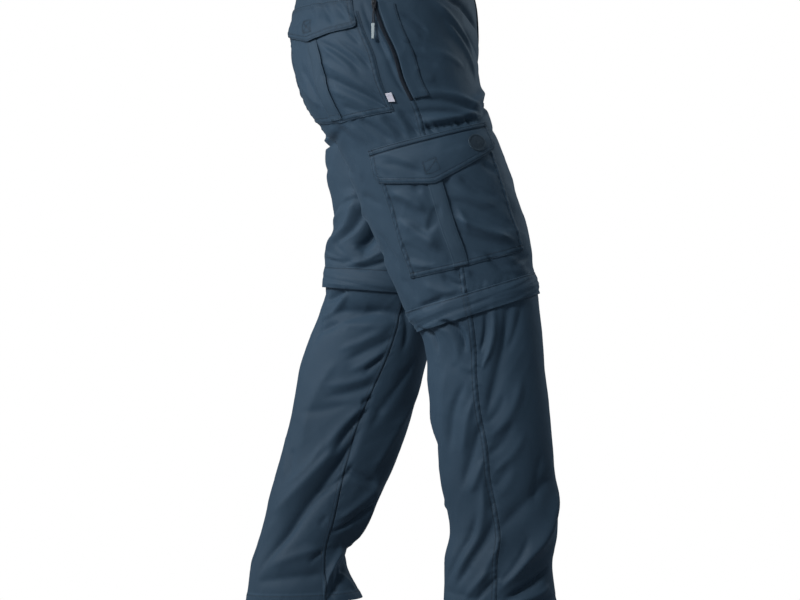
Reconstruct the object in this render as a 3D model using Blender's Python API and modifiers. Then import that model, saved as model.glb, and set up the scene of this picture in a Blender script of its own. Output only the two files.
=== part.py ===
"""Convertible zip-off trousers, worn and in mid stride, as a hollow cloth shell.

Frame: metres, +Z up, +X forward, right leg at -Y. The origin is the centre of the top edge of
the waistband. Each leg is a loft through the sections in the tables below. Every piece is placed
in the garment's own coordinates: g, the distance round from the side seam (+ forward), and d,
the distance down the side seam from the top of the waistband.
"""

import math

import bmesh
import bpy
import numpy as np
from mathutils import Matrix

MM = 0.001
RIGHT, LEFT = -1, 1
SIDES = ((RIGHT, "R"), (LEFT, "L"))

# Named sizes, in millimetres.
WALL = 1.2  # thickness of every cloth wall
SEAM_GAP = 0.5  # between two panels at a seam
EASE = 1.1  # clear space between two stacked layers, enough for their facets
BAND_HEIGHT = 40.0  # waistband
FLAP_HEIGHT = 35.0  # band over the knee zip
ZIP_HEIGHT = 20.0  # knee zip with its tapes
SQUARE = 0.035  # how far the sections fill out towards their corners

# Sections, in millimetres. back_x, back_z and front_x, front_z: where the section meets the
# back and the front outline. outer, inner: distance of its two sides from the centre plane.
# seam, inseam: how far forward of the middle the side seam and inseam run, % of the depth.
COLUMNS = ("back_x", "back_z", "front_x", "front_z", "outer", "inner", "seam", "inseam")

# Above the crotch both legs share one section, cut at the centre plane, and 'inner' is then
# where the leg's own section would reach past it (negative).
HIP = (
    ("waist", -129, 0, 126, 0, 158, -158, 0, 0),
    ("band_foot", -137, -40, 134, -40, 166, -166, 0, 0),
    ("yoke", -147, -84, 144, -82, 178, -176, -4, 0),
    ("high_hip", -152, -129, 147, -126, 189, -168, 0, 0),
    ("hip", -148, -177, 147, -168, 195, -115, 6, 0),
    ("seat", -134, -223, 148, -206, 196, -52, 8, 0),
    ("crotch", -100, -281, 161, -255, 194, 1, 9, 0),
)
LEG = {
    RIGHT: (
        ("thigh_top", -75, -316, 169, -278, 192, 3, 6, 3),
        ("cargo_top", -53, -369, 183, -319, 189, 7, 4, 6),
        ("thigh_mid", -31, -421, 199, -363, 185, 11, 2, 8),
        ("thigh_low", -9, -471, 213, -407, 181, 15, 0, 10),
        ("cargo_foot", 10, -520, 226, -454, 177, 19, 0, 10),
        ("band_line", 32, -570, 233, -509, 173, 24, -3, 10),
        ("flap_foot", 52, -599, 238, -541, 171, 27, -6, 10),
        ("knee", 65, -640, 244, -594, 168, 30, -8, 10),
        ("below_knee", 68, -690, 249, -655, 166, 33, -9, 10),
        ("calf_top", 73, -740, 257, -715, 163, 36, -9, 10),
        ("calf", 81, -791, 262, -772, 160, 38, -7, 10),
        ("calf_low", 87, -841, 266, -829, 157, 39, -7, 10),
        ("shin", 98, -885, 270, -879, 154, 39, -6, 12),
        ("ankle_break", 101, -920, 270, -920, 152, 38, -4, 14),
        ("ankle", 93, -958, 262, -961, 151, 36, -2, 14),
        ("cuff", 92, -999, 265, -1002, 150, 35, -3, 12),
        ("hem", 92, -1050, 275, -1054, 149, 35, -6, 10),
    ),
    LEFT: (
        ("thigh_top", -101, -307, 150, -292, 192, 3, 6, 3),
        ("cargo_top", -98, -350, 135, -342, 189, 7, 4, 8),
        ("thigh_mid", -88, -393, 122, -391, 185, 11, 2, 12),
        ("thigh_low", -86, -433, 109, -436, 181, 15, 0, 16),
        ("cargo_foot", -100, -469, 99, -477, 177, 19, 0, 18),
        ("band_line", -100, -497, 92, -507, 173, 24, -3, 19),
        ("flap_foot", -100, -530, 89, -543, 171, 27, -6, 20),
        ("knee", -111, -575, 77, -596, 168, 30, -8, 20),
        ("below_knee", -129, -621, 66, -651, 166, 33, -9, 18),
        ("calf_top", -143, -664, 51, -709, 163, 36, -9, 14),
        ("calf", -153, -717, 34, -768, 160, 38, -7, 9),
        ("calf_low", -164, -773, 13, -824, 157, 39, -7, 9),
        ("shin", -177, -822, -12, -877, 154, 39, -6, 13),
        ("ankle_break", -192, -875, -38, -923, 152, 38, -4, 20),
        ("ankle", -205, -931, -67, -961, 151, 36, -2, 28),
        ("cuff", -222, -984, -65, -989, 150, 35, -3, 28),
        ("hem", -231, -1050, -40, -1042, 149, 35, -6, 20),
    ),
}


# Depths of the landmarks down the side seam, in millimetres. They are the same on both legs: the
# left thigh, which is on its way back, bunches up and so reaches them sooner.
PATTERN = {"waist": 0, "crotch": 285, "band_line": 571, "flap_foot": 604, "hem": 1086}
ZIP_TOP = 576.0  # lower edge of the upper panels
ZIP_FOOT = ZIP_TOP + ZIP_HEIGHT  # upper edge of the zip-off legs
UPPER_ROWS = (82, 128, 172, 212, 244, 266, 285, 322, 365, 410, 452, 490, 530)
LOWER_STEPS = 11
ROUND_STEPS = 10  # facets from the side seam to the front edge, and as many to the back edge

# The main folds, in millimetres. leg, then g and d of the two ends, half the width, and how far
# the cloth stands out (+) or sinks (-).
FOLDS = (
    (RIGHT, 15, 292, 94, 314, 14, -3.0),
    (RIGHT, 135, 92, 185, 140, 15, -4.0),
    (RIGHT, -60, 606, -16, 664, 15, -4.5),
    (RIGHT, 10, 690, 20, 800, 18, 3.0),
    (RIGHT, 2, 792, 62, 758, 15, -4.0),
    (RIGHT, -52, 880, -6, 826, 16, -3.0),
    (RIGHT, 24, 850, 112, 962, 34, 4.0),
    (RIGHT, -70, 1040, -22, 890, 17, 4.0),
    (RIGHT, 6, 1046, 118, 1008, 16, -5.0),
    (LEFT, 222, 828, 352, 1034, 24, -6.0),
    (LEFT, 248, 842, 372, 1020, 26, 4.0),
    (LEFT, -250, 428, -175, 494, 16, -5.0),
    (LEFT, -246, 460, -190, 508, 14, 4.0),
    (LEFT, -186, 612, -150, 672, 17, 4.5),
    (LEFT, -222, 610, -176, 668, 16, -4.0),
)


def smooth(keys, values, at):
    """A smooth curve through the rows of values at keys, read at the given places."""
    at = np.asarray(at, float)
    slopes = np.gradient(values, keys, axis=0)
    i = np.clip(np.searchsorted(keys, at, side="right") - 1, 0, len(keys) - 2)
    h = (keys[i + 1] - keys[i])[..., None]
    t = (at - keys[i])[..., None] / h
    return (
        values[i] * (1 + 2 * t) * (1 - t) ** 2
        + values[i + 1] * t * t * (3 - 2 * t)
        + h * (slopes[i] * t * (1 - t) ** 2 - slopes[i + 1] * t * t * (1 - t))
    )


class Leg:
    """Half the garment: one leg with its half of the hips, in millimetres."""

    ROWS, ROUND = 361, 145

    def __init__(self, side):
        self.side = side
        rows = HIP + LEG[side]
        self.names = [row[0] for row in rows]
        self.values = np.array([row[1:] for row in rows], float)
        middle = (self.values[:, 0:2] + self.values[:, 2:4]) / 2
        self.keys = np.concatenate([[0.0], np.cumsum(np.hypot(*np.diff(middle, axis=0).T))])
        self.crotch = self.keys[len(HIP) - 1]
        self.s_rows = np.linspace(0, self.keys[-1], self.ROWS)
        u = np.linspace(-1, 1, self.ROUND)
        grid = self.raw(u[None, :] + 0 * self.s_rows[:, None], self.s_rows[:, None] + 0 * u)
        arc = np.linalg.norm(np.diff(grid, axis=1), axis=2)
        half = self.ROUND // 2
        self.front_g = arc[:, half:].sum(axis=1)
        self.back_g = arc[:, :half].sum(axis=1)
        run = np.concatenate([np.zeros((self.ROWS, 1)), np.cumsum(arc, axis=1)], axis=1)
        run -= run[:, half : half + 1]
        self.share_rows = np.where(run >= 0, run / self.front_g[:, None], run / self.back_g[:, None])
        self.u_rows = np.array([np.interp(u, share, u) for share in self.share_rows])
        seam = np.linalg.norm(np.diff(grid[:, half], axis=0), axis=1)
        down = np.concatenate([[0.0], np.cumsum(seam)])
        marks = [np.interp(self.keys[self.names.index(name)], self.s_rows, down) for name in PATTERN]
        self.d_rows = np.interp(down, marks, list(PATTERN.values()))

    def raw(self, u, s):
        """The point at share u of the turn (-1 back edge, 0 side seam, 1 front edge)."""
        row = smooth(self.keys, self.values, s)
        back_x, back_z, front_x, front_z, outer, inner, seam, inseam = np.moveaxis(row, -1, 0)
        centre = (outer + inner) / 2
        width = (outer - inner) / 2
        edge = 0.3 + 0.75 * np.clip(centre / width, 0, 1)
        stop = np.where(s < self.crotch, np.arccos(np.clip(-(centre - edge) / width, -1, 1)), np.pi)
        lead = np.arcsin(2 * seam / 100) * (1 - u * u) ** 2
        trail = np.arcsin(2 * inseam / 100) * u**4
        turn = u * stop + lead - trail
        fill = 1 + SQUARE * np.sin(2 * turn) ** 2 * np.clip(np.cos(turn), 0, 1)
        along = np.sin(turn) * fill
        x = (back_x + front_x) / 2 + along * (front_x - back_x) / 2
        y = centre + width * np.cos(turn) * fill
        z = (back_z + front_z) / 2 + along * (front_z - back_z) / 2
        return np.stack([x, self.side * y, z], axis=-1)

    def s_at(self, d):
        return np.interp(d, self.d_rows, self.s_rows)

    def reach(self, d, front):
        """How far round the panel goes at depth d."""
        return np.interp(d, self.d_rows, self.front_g if front else self.back_g)

    def read(self, table, share, s):
        """Bilinear reading of a table of rows s and shares -1 to 1."""
        row = np.clip(s / self.keys[-1] * (self.ROWS - 1), 0, self.ROWS - 1.001)
        col = np.clip((share + 1) / 2 * (self.ROUND - 1), 0, self.ROUND - 1.001)
        i, j = row.astype(int), col.astype(int)
        a, b = row - i, col - j
        upper = table[i, j] * (1 - b) + table[i, j + 1] * b
        lower = table[i + 1, j] * (1 - b) + table[i + 1, j + 1] * b
        return upper * (1 - a) + lower * a

    def u_of(self, g, d):
        share = np.where(g >= 0, g / self.reach(d, True), g / self.reach(d, False))
        return self.read(self.u_rows, np.clip(share, -1, 1), self.s_at(d))

    def g_of(self, u, d):
        share = self.read(self.share_rows, u, self.s_at(d))
        return share * np.where(share >= 0, self.reach(d, True), self.reach(d, False))

    def normal(self, u, s):
        u1, u0 = np.clip(u + 0.004, -1, 1), np.clip(u - 0.004, -1, 1)
        s1, s0 = np.clip(s + 1.5, 0, self.keys[-1]), np.clip(s - 1.5, 0, self.keys[-1])
        across = self.raw(u1, s) - self.raw(u0, s)
        down = self.raw(u, s1) - self.raw(u, s0)
        out = np.cross(across, down) * self.side
        return out / np.linalg.norm(out, axis=-1, keepdims=True)

    def at_u(self, u, d, lift=0.0):
        """Points at (u, d), lifted off the middle of the cloth."""
        u, d, lift = np.broadcast_arrays(np.asarray(u, float), np.asarray(d, float), np.asarray(lift, float))
        s = self.s_at(d)
        push = lift + self.folds(self.g_of(u, d), d)
        return self.raw(u, s) + self.normal(u, s) * push[..., None]

    def at(self, g, d, lift=0.0):
        """Points at (g, d), lifted off the middle of the cloth."""
        g, d = np.broadcast_arrays(np.asarray(g, float), np.asarray(d, float))
        return self.at_u(self.u_of(g, d), d, lift)

    def folds(self, g, d):
        """How far the main folds push the cloth out."""
        total = np.zeros(np.shape(g))
        girth = self.reach(d, True) + self.reach(d, False)
        for side, g0, d0, g1, d1, half_width, height in FOLDS:
            if side != self.side:
                continue
            dg, dd = g1 - g0, d1 - d0
            length = math.hypot(dg, dd)
            for turn in (-1, 0, 1):
                here = g + turn * girth
                along = ((here - g0) * dg + (d - d0) * dd) / length**2
                across = ((here - g0) * dd - (d - d0) * dg) / length
                fade = np.clip(1 - (2 * along - 1) ** 2, 0, 1)
                total += height * fade * np.exp(-((across / half_width) ** 2) * 1.4)
        return total


LEGS = {side: Leg(side) for side, _ in SIDES}

# Colours (linear), roughness and metallic of the materials.
FINISHES = {
    "cloth": ((0.036, 0.060, 0.086, 1), 0.75, 0.0),
    "webbing": ((0.034, 0.056, 0.082, 1), 0.80, 0.0),
    "zip_tape": ((0.012, 0.018, 0.028, 1), 0.80, 0.0),
    "zip_metal": ((0.02, 0.022, 0.026, 1), 0.40, 0.8),
    "cord": ((0.010, 0.013, 0.020, 1), 0.80, 0.0),
    "tip": ((0.33, 0.38, 0.40, 1), 0.55, 0.0),
    "label": ((0.60, 0.58, 0.68, 1), 0.70, 0.0),
    "button": ((0.015, 0.02, 0.03, 1), 0.35, 0.0),
    "patch": ((0.028, 0.044, 0.062, 1), 0.70, 0.0),
}


def collection(name):
    made = bpy.data.collections.new(name)
    bpy.context.scene.collection.children.link(made)
    return made


def place(name, data, group, finish=None):
    """A new object in a collection, with a material of its own."""
    thing = bpy.data.objects.new(name, data)
    group.objects.link(thing)
    if finish:
        colour, roughness, metallic = FINISHES[finish]
        material = bpy.data.materials.new(name)
        material.use_nodes = True
        shader = material.node_tree.nodes["Principled BSDF"]
        shader.inputs["Base Color"].default_value = colour
        shader.inputs["Roughness"].default_value = roughness
        shader.inputs["Metallic"].default_value = metallic
        data.materials.append(material)
    return thing


def cloth(name, points, group, finish="cloth", closed=False, wall=WALL):
    """A wall of cloth whose middle is the grid of points (rows, columns, 3)."""
    rows, cols = points.shape[:2]
    shape = bmesh.new()
    verts = [[shape.verts.new(tuple(map(float, point * MM))) for point in row] for row in points]
    for i in range(rows - 1):
        for j in range(cols if closed else cols - 1):
            k = (j + 1) % cols
            shape.faces.new((verts[i][j], verts[i][k], verts[i + 1][k], verts[i + 1][j]))
    data = bpy.data.meshes.new(name)
    shape.to_mesh(data)
    shape.free()
    data.shade_smooth()
    data.set_sharp_from_angle(angle=math.radians(50))
    thing = place(name, data, group, finish)
    solid = thing.modifiers.new("Wall", "SOLIDIFY")
    solid.thickness = wall * MM
    solid.offset = 0.0
    solid.use_even_offset = True
    return thing


def panel(name, leg, front, depths, group):
    """A front or back panel, from the side seam to the centre seam or inseam."""
    depths = np.asarray(depths, float)
    sign = 1 if front else -1
    grid = []
    for d in depths:
        start = abs(float(leg.u_of(np.array(sign * SEAM_GAP / 2), np.array(d))))
        reach = float(leg.reach(d, front))
        past = d >= PATTERN["crotch"] - 0.5
        stop = abs(float(leg.u_of(np.array(sign * (reach - SEAM_GAP / 2)), np.array(d)))) if past else 1.0
        steps = np.linspace(0, 1, ROUND_STEPS + 1)
        u = steps.copy()
        u[0], u[-1] = start, stop
        grid.append(leg.at_u(sign * u, np.full(len(u), d)))
    return cloth(name, np.array(grid), group)


def ring(name, leg, depths, lifts, group, finish="cloth", wall=WALL):
    """A closed band round the leg, with the panels' own facets."""
    u = np.linspace(-1, 1, 2 * ROUND_STEPS + 1)[:-1]
    points = np.array([leg.at_u(u, np.full(len(u), d), lift) for d, lift in zip(depths, lifts)])
    return cloth(name, points, group, finish, closed=True, wall=wall)


def patch(name, leg, top, foot, lift, steps, group, finish="cloth", wall=WALL):
    """A sheet that lies on a panel. top and foot are (g, d) points along its two edges, which
    are read at even shares; lift(across, down) is the height of its middle."""
    cols, rows = steps
    shares = np.linspace(0, 1, cols + 1)
    edges = []
    for edge in (top, foot):
        edge = np.array(edge, float)
        at = (edge[:, 0] - edge[0, 0]) / (edge[-1, 0] - edge[0, 0])
        edges.append(np.stack([np.interp(shares, at, edge[:, 0]), np.interp(shares, at, edge[:, 1])], -1))
    grid = []
    for down in np.linspace(0, 1, rows + 1):
        line = edges[0] * (1 - down) + edges[1] * down
        height = np.array([lift(across, down) for across in shares])
        grid.append(leg.at(line[:, 0], line[:, 1], height))
    return cloth(name, np.array(grid), group, finish, wall=wall)


def bulge(across, down):
    """1 in the middle of a pocket, 0 at its edges, with full corners."""
    return (1 - (2 * across - 1) ** 4) * (1 - (2 * down - 1) ** 4)


LOW = WALL / 2 + EASE + WALL / 2  # middle of a sheet that lies on a panel
STEP = WALL + EASE  # and of each sheet on top of it


# The thigh pocket's flap: (g, d) points along its top and its foot.
CARGO_FLAP_TOP = ((-96, 326), (8, 318), (112, 309))
CARGO_FLAP_FOOT = ((-97, 372), (-52, 382), (-6, 393), (42, 380), (112, 357))


def cargo_flap_lift(down):
    """Height of the flap's middle: low at its top seam, then over the bag and the strap."""
    return LOW + 0.8 + (2 * STEP + 1.8) * min(1.0, down * 1.8)


def frame_at(leg, g, d, lift):
    """A point and three directions there: along the cloth level, down the cloth, and out."""
    point = leg.at(np.array(g), np.array(d), np.array(lift))
    out = leg.normal(leg.u_of(np.array(g), np.array(d)), leg.s_at(np.array(d)))
    level = np.cross(out, (0.0, 0.0, 1.0))
    level /= np.linalg.norm(level)
    if level[0] < 0:
        level = -level
    down = np.cross(level, out)
    if down[2] > 0:
        down = -down
    return point, level, down, out


def turned(point, level, down, out):
    """The matrix that puts local X along level, Y up the cloth and Z out, at a point in mm."""
    up = -down
    if np.dot(np.cross(level, up), out) < 0:
        level = -level
    matrix = np.eye(4)
    matrix[:3, 0], matrix[:3, 1], matrix[:3, 2] = level, up, out
    matrix[:3, 3] = point * MM
    return Matrix(matrix.tolist())


def rounded_box(name, size, bevel, group, finish=None):
    """A box with rounded edges, centred on its own origin, sizes in mm."""
    shape = bmesh.new()
    bmesh.ops.create_cube(shape, size=1.0)
    bmesh.ops.scale(shape, vec=[edge * MM for edge in size], verts=shape.verts)
    bmesh.ops.bevel(
        shape, geom=list(shape.edges), offset=bevel * MM, segments=2, profile=0.5, affect="EDGES"
    )
    data = bpy.data.meshes.new(name)
    shape.to_mesh(data)
    shape.free()
    data.shade_smooth()
    data.set_sharp_from_angle(angle=math.radians(50))
    return place(name, data, group, finish)


def tube(name, points, radius, group, finish=None, resolution=2):
    """A round wire or cord along points in mm."""
    curve = bpy.data.curves.new(name, "CURVE")
    curve.dimensions = "3D"
    curve.bevel_depth = radius * MM
    curve.bevel_resolution = resolution
    curve.use_fill_caps = True
    spline = curve.splines.new("POLY")
    spline.points.add(len(points) - 1)
    for slot, point in zip(spline.points, points):
        slot.co = (*[float(value) * MM for value in point], 1)
    return place(name, curve, group, finish)


def as_mesh(curve_thing):
    """The closed mesh of a curve object, in its place."""
    graph = bpy.context.evaluated_depsgraph_get()
    data = bpy.data.meshes.new_from_object(curve_thing.evaluated_get(graph))
    shape = bmesh.new()
    shape.from_mesh(data)
    bmesh.ops.remove_doubles(shape, verts=shape.verts, dist=1e-6)
    bmesh.ops.recalc_face_normals(shape, faces=shape.faces)
    shape.to_mesh(data)
    shape.free()
    name, matrix = curve_thing.name, curve_thing.matrix_world.copy()
    group = curve_thing.users_collection[0]
    bpy.data.objects.remove(curve_thing)
    thing = place(name, data, group)
    thing.matrix_world = matrix
    return thing


def slider(name, matrix, group, cutters):
    """A zip slider: a rounded body with the bridge that its pull hangs on. Local Z is out, and
    the body's upper face is at 0."""
    body = rounded_box(name, (7.0, 9.0, 1.8), 0.5, group, "zip_metal")
    for vert in body.data.vertices:
        vert.co.z -= 0.9 * MM
    body.matrix_world = matrix
    bridge = ((-3.0, -1.0), (-3.0, 1.6), (-2.2, 2.5), (2.2, 2.5), (3.0, 1.6), (3.0, -1.0))
    arch = tube(name + "_bridge", [(0, y, z) for y, z in bridge], 0.55, cutters)
    bpy.context.view_layer.update()
    arch = as_mesh(arch)
    arch.matrix_world = matrix
    join = body.modifiers.new("Bridge", "BOOLEAN")
    join.operation = "UNION"
    join.object = arch
    arch.hide_render = True
    arch.display_type = "WIRE"
    return body


PULL_AXIS = 1.0  # height of the pull's pivot over the slider's upper face
TAB_EDGES = (  # outline of the pull tab's right half, from its pivot bar down: (across, down)
    (2.2, -0.45), (2.6, 0.0), (2.6, 9.0), (1.6, 10.6),
)


def pull_tab(name, matrix, group):
    """A flat tab with an eye for the slider's bridge and a hole for the cord, pivoting at 0."""
    curve = bpy.data.curves.new(name, "CURVE")
    curve.dimensions = "2D"
    curve.fill_mode = "BOTH"
    curve.extrude = 0.45 * MM
    outline = [(x, -y) for x, y in TAB_EDGES] + [(-x, -y) for x, y in reversed(TAB_EDGES)]
    eye = [(1.5, -0.45), (1.5, -4.3), (-1.5, -4.3), (-1.5, -0.45)]
    hole = [
        (1.5 * math.cos(k * math.pi / 5), -8.0 + 1.5 * math.sin(k * math.pi / 5)) for k in range(10)
    ]
    for loop in (outline, eye, hole):
        spline = curve.splines.new("POLY")
        spline.points.add(len(loop) - 1)
        for slot, (x, y) in zip(spline.points, loop):
            slot.co = (x * MM, y * MM, 0, 1)
        spline.use_cyclic_u = True
    thing = place(name, curve, group)
    bpy.context.view_layer.update()
    thing = as_mesh(thing)
    colour, roughness, metallic = FINISHES["zip_metal"]
    thing.data.materials.clear()
    material = bpy.data.materials.new(name)
    material.use_nodes = True
    shader = material.node_tree.nodes["Principled BSDF"]
    shader.inputs["Base Color"].default_value = colour
    shader.inputs["Roughness"].default_value = roughness
    shader.inputs["Metallic"].default_value = metallic
    thing.data.materials.append(material)
    thing.matrix_world = matrix
    return thing


# The pull of the hand pocket's zip: where its slider sits, and sizes in millimetres.
PULL_G, PULL_D = -5.0, 100.0
CORD_RADIUS = 0.8
CORD_FOOT = 34.0  # from the pivot to the tip
TIP_LENGTH = 25.0


def pull_places(leg):
    """The slider's frame, and the pull's: the same, tipped until it rests on the cloth."""
    strip_top = LOW + WALL / 2
    base, level, down, out = frame_at(leg, PULL_G, PULL_D, strip_top + 0.3 + 1.8)
    pivot = base + out * PULL_AXIS
    d = np.arange(PULL_D - 4, PULL_D + 75, 2.0)
    g = np.arange(-30.0, 12.0, 3.0)
    gg, dd = np.meshgrid(g, d)
    skin = leg.at(gg, dd, strip_top + 0.0 * gg) - pivot
    x, y, z = skin @ level, skin @ down, skin @ out
    near = (np.abs(x) < 5) & (y > 12) & (y < CORD_FOOT + TIP_LENGTH + 1)
    tilt = float(np.max(np.arctan2(z[near] + 2.8, y[near])))
    lean = down * math.cos(tilt) + out * math.sin(tilt)
    front = out * math.cos(tilt) - down * math.sin(tilt)
    return (base, level, down, out), (pivot, level, lean, front)


def pull(leg, tag, group, cutters):
    sit, hang = pull_places(leg)
    slider("zip_slider_" + tag, turned(*sit), group, cutters)
    matrix = turned(*hang)
    pull_tab("zip_pull_" + tag, matrix, group)
    # The cord loop goes through the tab's hole, and its two ends run side by side into the tip.
    hole, across = 8.0, 1.15
    route = [
        (-across, CORD_FOOT - 0.3, 0.0), (-across, 26.0, -0.3), (-across, 19.0, -1.0),
        (-0.7, 13.0, -1.7), (-0.2, 9.6, -1.65), (0.0, 8.3, -1.1), (0.0, hole, 0.0),
        (0.0, 8.3, 1.1), (0.2, 9.6, 1.65), (0.7, 13.0, 1.7), (across, 19.0, 1.0),
        (across, 26.0, 0.3), (across, CORD_FOOT - 0.3, 0.0),
    ]
    cord = tube("pull_cord_" + tag, [(x, -y, z) for x, y, z in route], CORD_RADIUS, group, "cord")
    cord.matrix_world = matrix
    tip = rounded_box("pull_tip_" + tag, (5.2, TIP_LENGTH, 3.2), 0.9, group, "tip")
    for vert in tip.data.vertices:
        taper = 1 - 0.22 * (0.5 - vert.co.y / (TIP_LENGTH * MM))
        vert.co.x *= taper
        vert.co.z *= taper
        vert.co.y -= (CORD_FOOT + TIP_LENGTH / 2) * MM
    tip.matrix_world = matrix


def leg_pieces(side, tag, group, cutters):
    leg = LEGS[side]
    upper = (BAND_HEIGHT + SEAM_GAP,) + UPPER_ROWS + (ZIP_TOP,)
    lower = np.linspace(ZIP_FOOT + SEAM_GAP, PATTERN["hem"], LOWER_STEPS + 1)
    for part, front in (("front", True), ("back", False)):
        panel(f"{part}_upper_{tag}", leg, front, upper, group)
        panel(f"{part}_lower_{tag}", leg, front, lower, group)
    ring("knee_zip_" + tag, leg, (ZIP_TOP + SEAM_GAP, ZIP_FOOT), (0, 0), group, "zip_tape")
    top, foot = PATTERN["band_line"] - 1, PATTERN["band_line"] - 1 + FLAP_HEIGHT
    ring("knee_flap_" + tag, leg, (top, top + 12, foot), (LOW, LOW + 2.7, LOW + 2.7), group)
    at = leg.reach(np.array(588.0), True) - 12
    middle, level, down, out = frame_at(leg, at, 588.0, WALL / 2 + 0.45 + 1.6)
    tab = rounded_box("knee_zip_slider_" + tag, (10.0, 7.0, 1.6), 0.4, group, "zip_metal")
    for vert in tab.data.vertices:
        vert.co.z -= 0.8 * MM
    tab.matrix_world = turned(middle, level, down, out)

    # Thigh pocket: bag, strap and flap.
    patch(
        "cargo_pocket_" + tag, leg,
        [(-90, 350), (105, 340)], [(-88, 523), (-10, 529), (107, 533)],
        lambda a, b: LOW + 2.2 * bulge(a, b), (8, 7), group,
    )
    patch(
        "cargo_strap_" + tag, leg, [(-18, 362), (4, 362)], [(-15, 526), (7, 528)],
        lambda a, b: LOW + 2.2 * bulge(0.42, 0.08 + 0.9 * b) + STEP, (1, 7), group, "webbing",
    )
    patch("cargo_flap_" + tag, leg, CARGO_FLAP_TOP, CARGO_FLAP_FOOT, lambda a, b: cargo_flap_lift(b), (10, 4), group)
    # Back pocket: bag, strap and flap.
    patch(
        "back_pocket_" + tag, leg, [(-33, 112), (-230, 112)], [(-38, 277), (-134, 285), (-226, 277)],
        lambda a, b: LOW + 0.8 + 1.0 * bulge(a, b), (7, 6), group,
    )
    patch(
        "back_pocket_strap_" + tag, leg, [(-122, 126), (-146, 126)], [(-123, 278), (-147, 278)],
        lambda a, b: LOW + 0.8 + 1.0 * bulge(0.5, b * 0.98) + STEP, (1, 6), group, "webbing",
    )
    patch(
        "back_pocket_flap_" + tag, leg, [(-38, 92), (-236, 92)],
        [(-40, 137), (-90, 147), (-138, 158), (-188, 147), (-236, 137)],
        lambda a, b: LOW + 0.8 + (2 * STEP + 1.2) * min(1.0, b * 1.8), (8, 4), group,
    )
    # Hand pocket: the zip down the side seam and the stitched band in front of it.
    patch(
        "hand_pocket_placket_" + tag, leg, [(3.5, 94), (27, 100)], [(1.0, 260), (25, 257)],
        lambda a, b: LOW, (2, 8), group,
    )
    patch(
        "hand_pocket_zip_" + tag, leg, [(-8, 88), (-1.5, 88)], [(-8, 262), (-1.5, 262)],
        lambda a, b: LOW, (1, 8), group, "zip_tape",
    )
    pull(leg, tag, group, cutters)


def hip_ring(u_turns, d, lifts):
    """Points round the hips. A turn from 1 to -1 is the right half, front to back, from -1 to -3
    the left half, back to front, and past -3 the right front again."""
    points = []
    for turn, lift in zip(u_turns, lifts):
        if turn > -1 + 1e-6:
            point = LEGS[RIGHT].at_u(turn, d, lift)
        elif turn > -3 - 1e-6:
            point = LEGS[LEFT].at_u(-2 - turn, d, lift)
        else:
            point = LEGS[RIGHT].at_u(turn + 4, d, lift)
        if abs(turn + 1) < 1e-6:
            point = point * (1, 0, 1)
        points.append(point)
    return points


def waist(group):
    """Waistband, button and fly, closed left over right."""
    even = 2 * ROUND_STEPS
    turns = [0.998] + [1 - k / ROUND_STEPS for k in range(1, even)] + [-1 - k / ROUND_STEPS for k in range(even)]
    turns += [-3.0, -3.0 - 0.09, -3.0 - 0.18]
    lifts = []
    for turn in turns:
        under = -1.1 * np.clip((turn - 0.7) / 0.12, 0, 1)
        over = 1.1 * np.clip((-2.55 - turn) / 0.3, 0, 1)
        lifts.append(float(under + over))
    cloth("waistband", np.array([hip_ring(turns, d, lifts) for d in (0.0, BAND_HEIGHT)]), group)

    right = LEGS[RIGHT]
    edge = float(right.reach(np.array(20.0), True))
    middle, level, down, out = frame_at(right, edge - 22, 20.0, 1.1 + WALL / 2 + 0.4)
    shape = bmesh.new()
    bmesh.ops.create_cone(
        shape, cap_ends=True, segments=16, radius1=8.5 * MM, radius2=8.5 * MM, depth=3.0 * MM
    )
    data = bpy.data.meshes.new("waist_button")
    shape.to_mesh(data)
    shape.free()
    data.shade_smooth()
    data.set_sharp_from_angle(angle=math.radians(50))
    button = place("waist_button", data, group, "button")
    button.matrix_world = turned(middle + out * 1.5, level, down, out)
    round_off = button.modifiers.new("Edge", "BEVEL")
    round_off.width = 0.6 * MM
    round_off.segments = 1

    depths = np.linspace(BAND_HEIGHT + 1.5, 205, 6)
    share = 1.0 / right.reach(depths, True)
    flap, under = [], []
    for d, unit in zip(depths, share):
        curve_in = 30 * max(0.0, (d - 165) / 40) ** 2  # the stitching's J at the foot
        turns = [-3 + (38 - curve_in) * unit, -3 + 12 * unit, -3 - 7 * unit]
        flap.append(hip_ring(turns, d, [LOW + 1.0] * 3))
        turns = [-3 + 14 * unit, -3, -3 - 14 * unit]
        under.append(hip_ring(turns, d, [-LOW - 3.2] * 3))
    cloth("fly_flap", np.array(flap), group)
    cloth("fly_zip", np.array(under), group, "zip_tape")


def trims(group):
    """The plain white label in the right back pocket's front edge, and the plain round patch on
    the right thigh pocket's flap."""
    leg = LEGS[RIGHT]
    top = LOW + 0.8 + STEP + 0.6
    patch(
        "back_pocket_label", leg, [(-38.5, 248), (-28.5, 247)], [(-39.5, 262), (-30, 262.5)],
        lambda a, b: top, (2, 2), group, "label", wall=1.0,
    )
    middle_g, middle_d, radius = 75.0, 344.0, 15.0
    grid = []
    for v in np.linspace(-1, 1, 5):
        row = []
        for u in np.linspace(-1, 1, 5):
            g = middle_g + radius * u * math.sqrt(1 - v * v / 2)
            d = middle_d + radius * v * math.sqrt(1 - u * u / 2)
            top = np.interp(g, *zip(*CARGO_FLAP_TOP))
            foot = np.interp(g, *zip(*CARGO_FLAP_FOOT))
            lift = cargo_flap_lift((d - top) / (foot - top)) + WALL / 2 + EASE + 0.5
            row.append(leg.at(g, d, lift))
        grid.append(row)
    cloth("round_patch", np.array(grid), group, "patch", wall=1.0)


def main():
    for thing in list(bpy.data.objects):
        bpy.data.objects.remove(thing)
    group, cutters = collection("trousers"), collection("cutters")
    for side, tag in SIDES:
        leg_pieces(side, tag, group, cutters)
    waist(group)
    trims(group)


main()
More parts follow.
